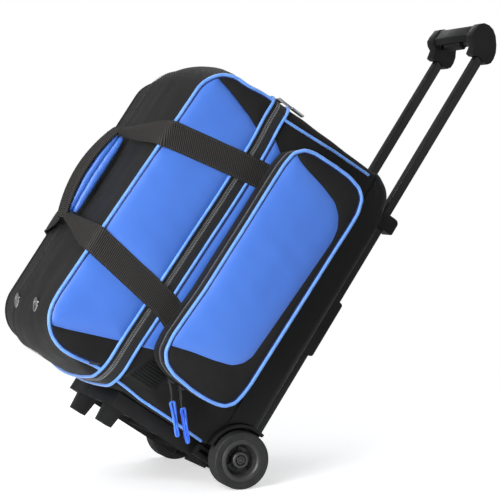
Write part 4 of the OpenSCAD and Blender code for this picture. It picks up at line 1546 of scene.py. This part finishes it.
# hard pieces kept from the CAD: node, material, edge radius
HARD_PIECES = (
    ("end_frame", "black_moulding", 1.6), ("stand_legs", "black_moulding", 1.2),
    ("wheel_fenders", "black_moulding", 0.8), ("axle_brackets", "black_moulding", 0.8),
    ("axle_bolts", "dark_steel", 0.4), ("axle_nuts", "dark_steel", 0.4),
    ("left_hub", "hub_moulding", 0.5), ("right_hub", "hub_moulding", 0.5),
    ("left_tyre", "tread_rubber", 0.3), ("right_tyre", "tread_rubber", 0.3),
    ("top_collars", "black_moulding", 1.6), ("skid_brackets", "black_moulding", 2.0),
    ("lower_brackets", "black_moulding", 2.0), ("bracket_screws", "dark_steel", 0.3),
    ("slide_shoes", "nylon_grey", 0.5), ("grip_bar", "grip_moulding", 1.2),
    ("grip_cheeks", "grip_moulding", 2.6), ("grip_screws", "dark_steel", 0.3),
    ("release_button", "black_moulding", 1.2), ("push_rods", "satin_steel", 0.2),
    ("base_board", "inner_lining", 0.8), ("ball_cups", "black_foam", 3.0),
    ("cup_pads", "black_foam", 1.0), ("divider", "black_foam", 3.0),
    ("main_slider", "bright_nickel", 0.5), ("main_pull", "bright_nickel", 0.5),
    ("pocket_slider_a", "dark_steel", 0.4), ("pocket_slider_b", "dark_steel", 0.4),
)


def dress(node, mat, radius):
    """Visual twin of a hard CAD piece with clean faces and rounded edges."""
    bm = bmesh.new()
    bm.from_mesh(frame["nodes"][node].data)
    bmesh.ops.remove_doubles(bm, verts=bm.verts, dist=2e-6)
    bmesh.ops.dissolve_limit(bm, angle_limit=math.radians(0.8), verts=bm.verts, edges=bm.edges)
    edges = [e for e in bm.edges
             if len(e.link_faces) == 2 and e.calc_face_angle(0) > math.radians(30)]
    bmesh.ops.bevel(bm, geom=edges, offset=radius * MM, segments=2, profile=0.6,
                    affect="EDGES", clamp_overlap=True)
    bmesh.ops.recalc_face_normals(bm, faces=bm.faces)
    mesh = bpy.data.meshes.new(node + "_v")
    bm.to_mesh(mesh)
    bm.free()
    obj = add_object(node + "_v", mesh, mat, angle=38)
    tag(obj, BODY_OF[node], node)


def build_lid_board():
    """Soft board inside the lid's end, upright across X."""
    half_y, z0, z1, corner, edge = 124.0, 22.0, 476.0, 26.0, 3.2
    outline = resample(round_rect(-half_y, half_y, z0, z1, [corner] * 4, 12), 9.0)
    centre = outline.mean(0)
    rings = []
    for side, x in ((-1, -371.0), (1, -364.0)):
        face = []
        for share in (0.3, 0.6, 0.82, 0.94):
            face.append([(x + side * 0.8 * math.sin(q[1] / 23.0 + q[0] / 31.0) * (1 - share),
                          q[0], q[1]) for q in centre + (outline - centre) * share])
        for angle in (0, 30, 60, 90):
            w = math.radians(angle)
            face.append([(x - side * edge * (1 - math.cos(w)), q[0], q[1])
                         for q in offset(outline, -edge * (1 - math.sin(w)))])
        rings += face[::-side]
    sides = len(outline)
    verts = [v for ring in rings for v in ring]
    faces = ring_faces(len(rings), sides, caps=0)
    # each face closes with a fan on its innermost ring
    for i in (0, len(rings) - 1):
        faces += [(i * sides + k, i * sides + (k + 1) % sides, len(verts))
                  for k in range(sides)]
        verts.append(tuple(np.mean(rings[i], axis=0)))
    make("board_in_lid", verts, faces, mat="inner_lining", body="lid", angle=50,
         replaces="lid_pad", slot="black_fabric")


def build_cord(node, x, phase):
    """Pull on a pocket zipper: a black string loop with a blue cord loop along it."""
    start = np.array([x, -HALF_Y - 30.5, 39.0])
    slope = math.radians(43)
    down = np.array([math.sin(slope), 0, -math.cos(slope)])
    across = np.array([-down[2], 0, down[0]])
    depth = np.array([0, 1.0, 0])
    string, cord = [], []
    for way, rate in ((1, 5), (-1, 4)):
        for t in np.linspace(0, 1, 22)[::way]:
            gap = 2.6 * math.sin(math.pi * min(1, t * 1.6 + 0.1)) + 0.4
            string.append(start + down * (34 * t) + depth * (way * gap)
                          + across * math.sin(rate * t + phase))
        for t in np.linspace(0, 1, 40)[::way]:
            wobble = math.sin(7 * t + phase) if way > 0 else math.cos(6 * t + phase)
            gap = 3.1 * (1 - 0.62 * t) + 0.35 * wobble
            cord.append(start + down * (30.5 + 53.0 * t) + across * (way * gap)
                        + depth * (way * 0.9 * math.sin(4.5 * t + phase)))
    tags = dict(closed=True, body=BODY_OF[node], slot="blue_cord")
    tube(f"{node}_string", smoothed(string, 1.5, closed=True, times=1), 0.95, sides=8,
         mat="black_string", **tags)
    tube(f"{node}_loop", smoothed(cord, 1.6, closed=True, times=2), 2.2, sides=12,
         mat="blue_cord", replaces=node, **tags)


def bake_cuts():
    """Applies the modifiers of the cut pieces and drops the cutters."""
    bpy.context.view_layer.update()
    graph = bpy.context.evaluated_depsgraph_get()
    cut = [obj for obj in bpy.context.scene.objects
           if obj.type == "MESH" and any(mod.type == "BOOLEAN" for mod in obj.modifiers)]
    for obj in cut:
        mesh = bpy.data.meshes.new_from_object(obj.evaluated_get(graph))
        obj.modifiers.clear()
        obj.data = mesh
        mesh.set_sharp_from_angle(angle=math.radians(35))
    for cutter in CUTTERS:
        bpy.data.objects.remove(cutter, do_unlink=True)


# ------------------------------------------------------------------ stage (metres)
LEAN_BACK = math.radians(33.92)         # the case leans on its wheels
FLOOR_CENTRE = Vector((0.0251, 0, -0.0373))


def tilt(v):
    """From the level world to the frame of the leaning case."""
    x, y, z = v
    cos, sin = math.cos(LEAN_BACK), math.sin(LEAN_BACK)
    return Vector((x * cos - z * sin, y, x * sin + z * cos))


def add_camera():
    heading, pitch = math.radians(22.51), math.radians(2.80)
    forward = Vector((math.sin(heading) * math.cos(pitch), math.cos(heading) * math.cos(pitch),
                      -math.sin(pitch)))
    right = Vector((math.cos(heading), -math.sin(heading), 0))
    up = right.cross(forward)
    data = bpy.data.cameras.new("cam")
    data.lens = 120.9816
    data.sensor_width = 36
    data.clip_end = 50
    camera = bpy.data.objects.new("cam", data)
    bpy.context.scene.collection.objects.link(camera)
    axes = Matrix((tilt(right), tilt(up), -tilt(forward))).transposed().to_4x4()
    axes.translation = Vector((-1.0639, -2.5544, -0.1692))
    camera.matrix_world = axes
    bpy.context.scene.camera = camera


def floor_material():
    """White floor that fades into a plain glow with distance and is clear from below."""
    white = (1, 1, 1, 1)
    material = bpy.data.materials.new("floor")
    material.use_nodes = True
    tree = material.node_tree
    link = tree.links.new
    base = tree.nodes["Principled BSDF"]
    base.inputs["Base Color"].default_value = (0.9, 0.9, 0.905, 1)
    base.inputs["Roughness"].default_value = 0.45
    clear = add_node(tree, "ShaderNodeBsdfTransparent")
    by_distance = add_node(tree, "ShaderNodeMixShader")
    by_side = add_node(tree, "ShaderNodeMixShader")
    glow = add_node(tree, "ShaderNodeEmission", Color=white)
    lit = add_node(tree, "ShaderNodeAddShader")
    rays = add_node(tree, "ShaderNodeLightPath")
    near_glow = add_node(tree, "ShaderNodeMath", operation="MULTIPLY")
    near_glow.inputs[1].default_value = 0.5         # added for camera rays only
    link(rays.outputs["Is Camera Ray"], near_glow.inputs[0])
    link(near_glow.outputs[0], glow.inputs["Strength"])
    link(base.outputs[0], lit.inputs[0])
    link(glow.outputs[0], lit.inputs[1])

    backdrop = add_node(tree, "ShaderNodeEmission", Color=white)
    far_glow = add_node(tree, "ShaderNodeMath", operation="MULTIPLY_ADD")
    far_glow.inputs[1].default_value = 0.72         # extra for camera rays
    far_glow.inputs[2].default_value = 0.28         # for all rays
    link(rays.outputs["Is Camera Ray"], far_glow.inputs[0])
    link(far_glow.outputs[0], backdrop.inputs["Strength"])

    geometry = add_node(tree, "ShaderNodeNewGeometry")
    distance = add_node(tree, "ShaderNodeVectorMath", operation="DISTANCE")
    distance.inputs[1].default_value = tuple(FLOOR_CENTRE + tilt((1, 0, 0)) * -0.05)
    fade = add_node(tree, "ShaderNodeMapRange", interpolation_type="SMOOTHSTEP",
                    From_Min=0.35, From_Max=1.6)
    link(geometry.outputs["Position"], distance.inputs[0])
    link(distance.outputs["Value"], fade.inputs["Value"])
    link(fade.outputs["Result"], by_distance.inputs["Fac"])
    link(lit.outputs[0], by_distance.inputs[1])
    link(backdrop.outputs[0], by_distance.inputs[2])
    link(geometry.outputs["Backfacing"], by_side.inputs["Fac"])
    link(by_distance.outputs[0], by_side.inputs[1])
    link(clear.outputs[0], by_side.inputs[2])
    link(by_side.outputs[0], tree.nodes["Material Output"].inputs["Surface"])
    return material


def add_floor():
    half = 6.0
    along, across = tilt((1, 0, 0)), Vector((0, 1, 0))
    corners = [tuple(FLOOR_CENTRE + along * a * half + across * b * half)
               for a, b in ((-1, -1), (1, -1), (1, 1), (-1, 1))]
    mesh = bpy.data.meshes.new("floor")
    mesh.from_pydata(corners, [], [(0, 1, 2, 3)])
    floor = bpy.data.objects.new("floor", mesh)
    bpy.context.scene.collection.objects.link(floor)
    mesh.materials.append(floor_material())


def add_world():
    """Dim cool light, seen as plain white by the camera."""
    world = bpy.data.worlds.new("world")
    bpy.context.scene.world = world
    world.use_nodes = True
    tree = world.node_tree
    ambient = tree.nodes["Background"]
    ambient.inputs["Color"].default_value = (0.93, 0.95, 1.0, 1)
    ambient.inputs["Strength"].default_value = 0.26
    rays = add_node(tree, "ShaderNodeLightPath")
    white = add_node(tree, "ShaderNodeBackground", Color=(1, 1, 1, 1), Strength=1.0)
    mix = add_node(tree, "ShaderNodeMixShader")
    tree.links.new(rays.outputs["Is Camera Ray"], mix.inputs["Fac"])
    tree.links.new(ambient.outputs[0], mix.inputs[1])
    tree.links.new(white.outputs[0], mix.inputs[2])
    tree.links.new(mix.outputs[0], tree.nodes["World Output"].inputs["Surface"])


def add_light(name, place, target, size, power):
    """Square area light, placed and aimed in the level world."""
    data = bpy.data.lights.new(name, "AREA")
    data.shape = "RECTANGLE"
    data.size = size
    data.size_y = size
    data.energy = power
    light = bpy.data.objects.new(name, data)
    bpy.context.scene.collection.objects.link(light)
    light.location = tilt(place)
    light.rotation_euler = (tilt(target) - tilt(place)).to_track_quat("-Z", "Y").to_euler()
    light.visible_camera = False


moulding_finishes()
fabric_finishes()
webbing_finish()
zipper_finishes()
metal_finishes()
wheel_finishes()
thread_finishes()

build_lid_gusset()
build_lid_linings()
build_lid_faces()
build_gusset_stitches()
build_zip_tapes()
build_zip_piping()
build_zip_coils()
build_hinge()
build_body_skin()
build_body_piping()
build_front_strip()
build_vent()
build_tray()
build_pocket_walls()
build_pocket_coil()
build_pocket_face()
for side, where in SIDES:
    for key in STRAPS:
        build_strap(side, where, key)
    build_grip(side, where)
build_tacks()
build_eyelets()
build_trolley_tubes()
for node, mat, radius in HARD_PIECES:
    dress(node, mat, radius)
build_lid_board()
build_cord("cord_a", x=-173.0, phase=0.0)
build_cord("cord_b", x=-153.0, phase=1.3)
bake_cuts()

add_camera()
add_floor()
add_world()
add_light("key", place=(-1.7, -1.5, 1.9), target=(-0.1, 0, 0.3), size=1.1, power=32)
add_light("left", place=(-1.55, -1.25, 0.55), target=(-0.2, 0, 0.3), size=0.8, power=30)
add_light("top", place=(0.2, 0.2, 2.6), target=(0, 0, 0.3), size=1.6, power=18)
add_light("fill", place=(1.8, -2.2, 1.0), target=(0, 0, 0.3), size=1.6, power=3)
add_light("rim", place=(1.2, 1.8, 1.6), target=(0, 0, 0.4), size=1.0, power=8)
bpy.context.scene.view_settings.view_transform = "Standard"
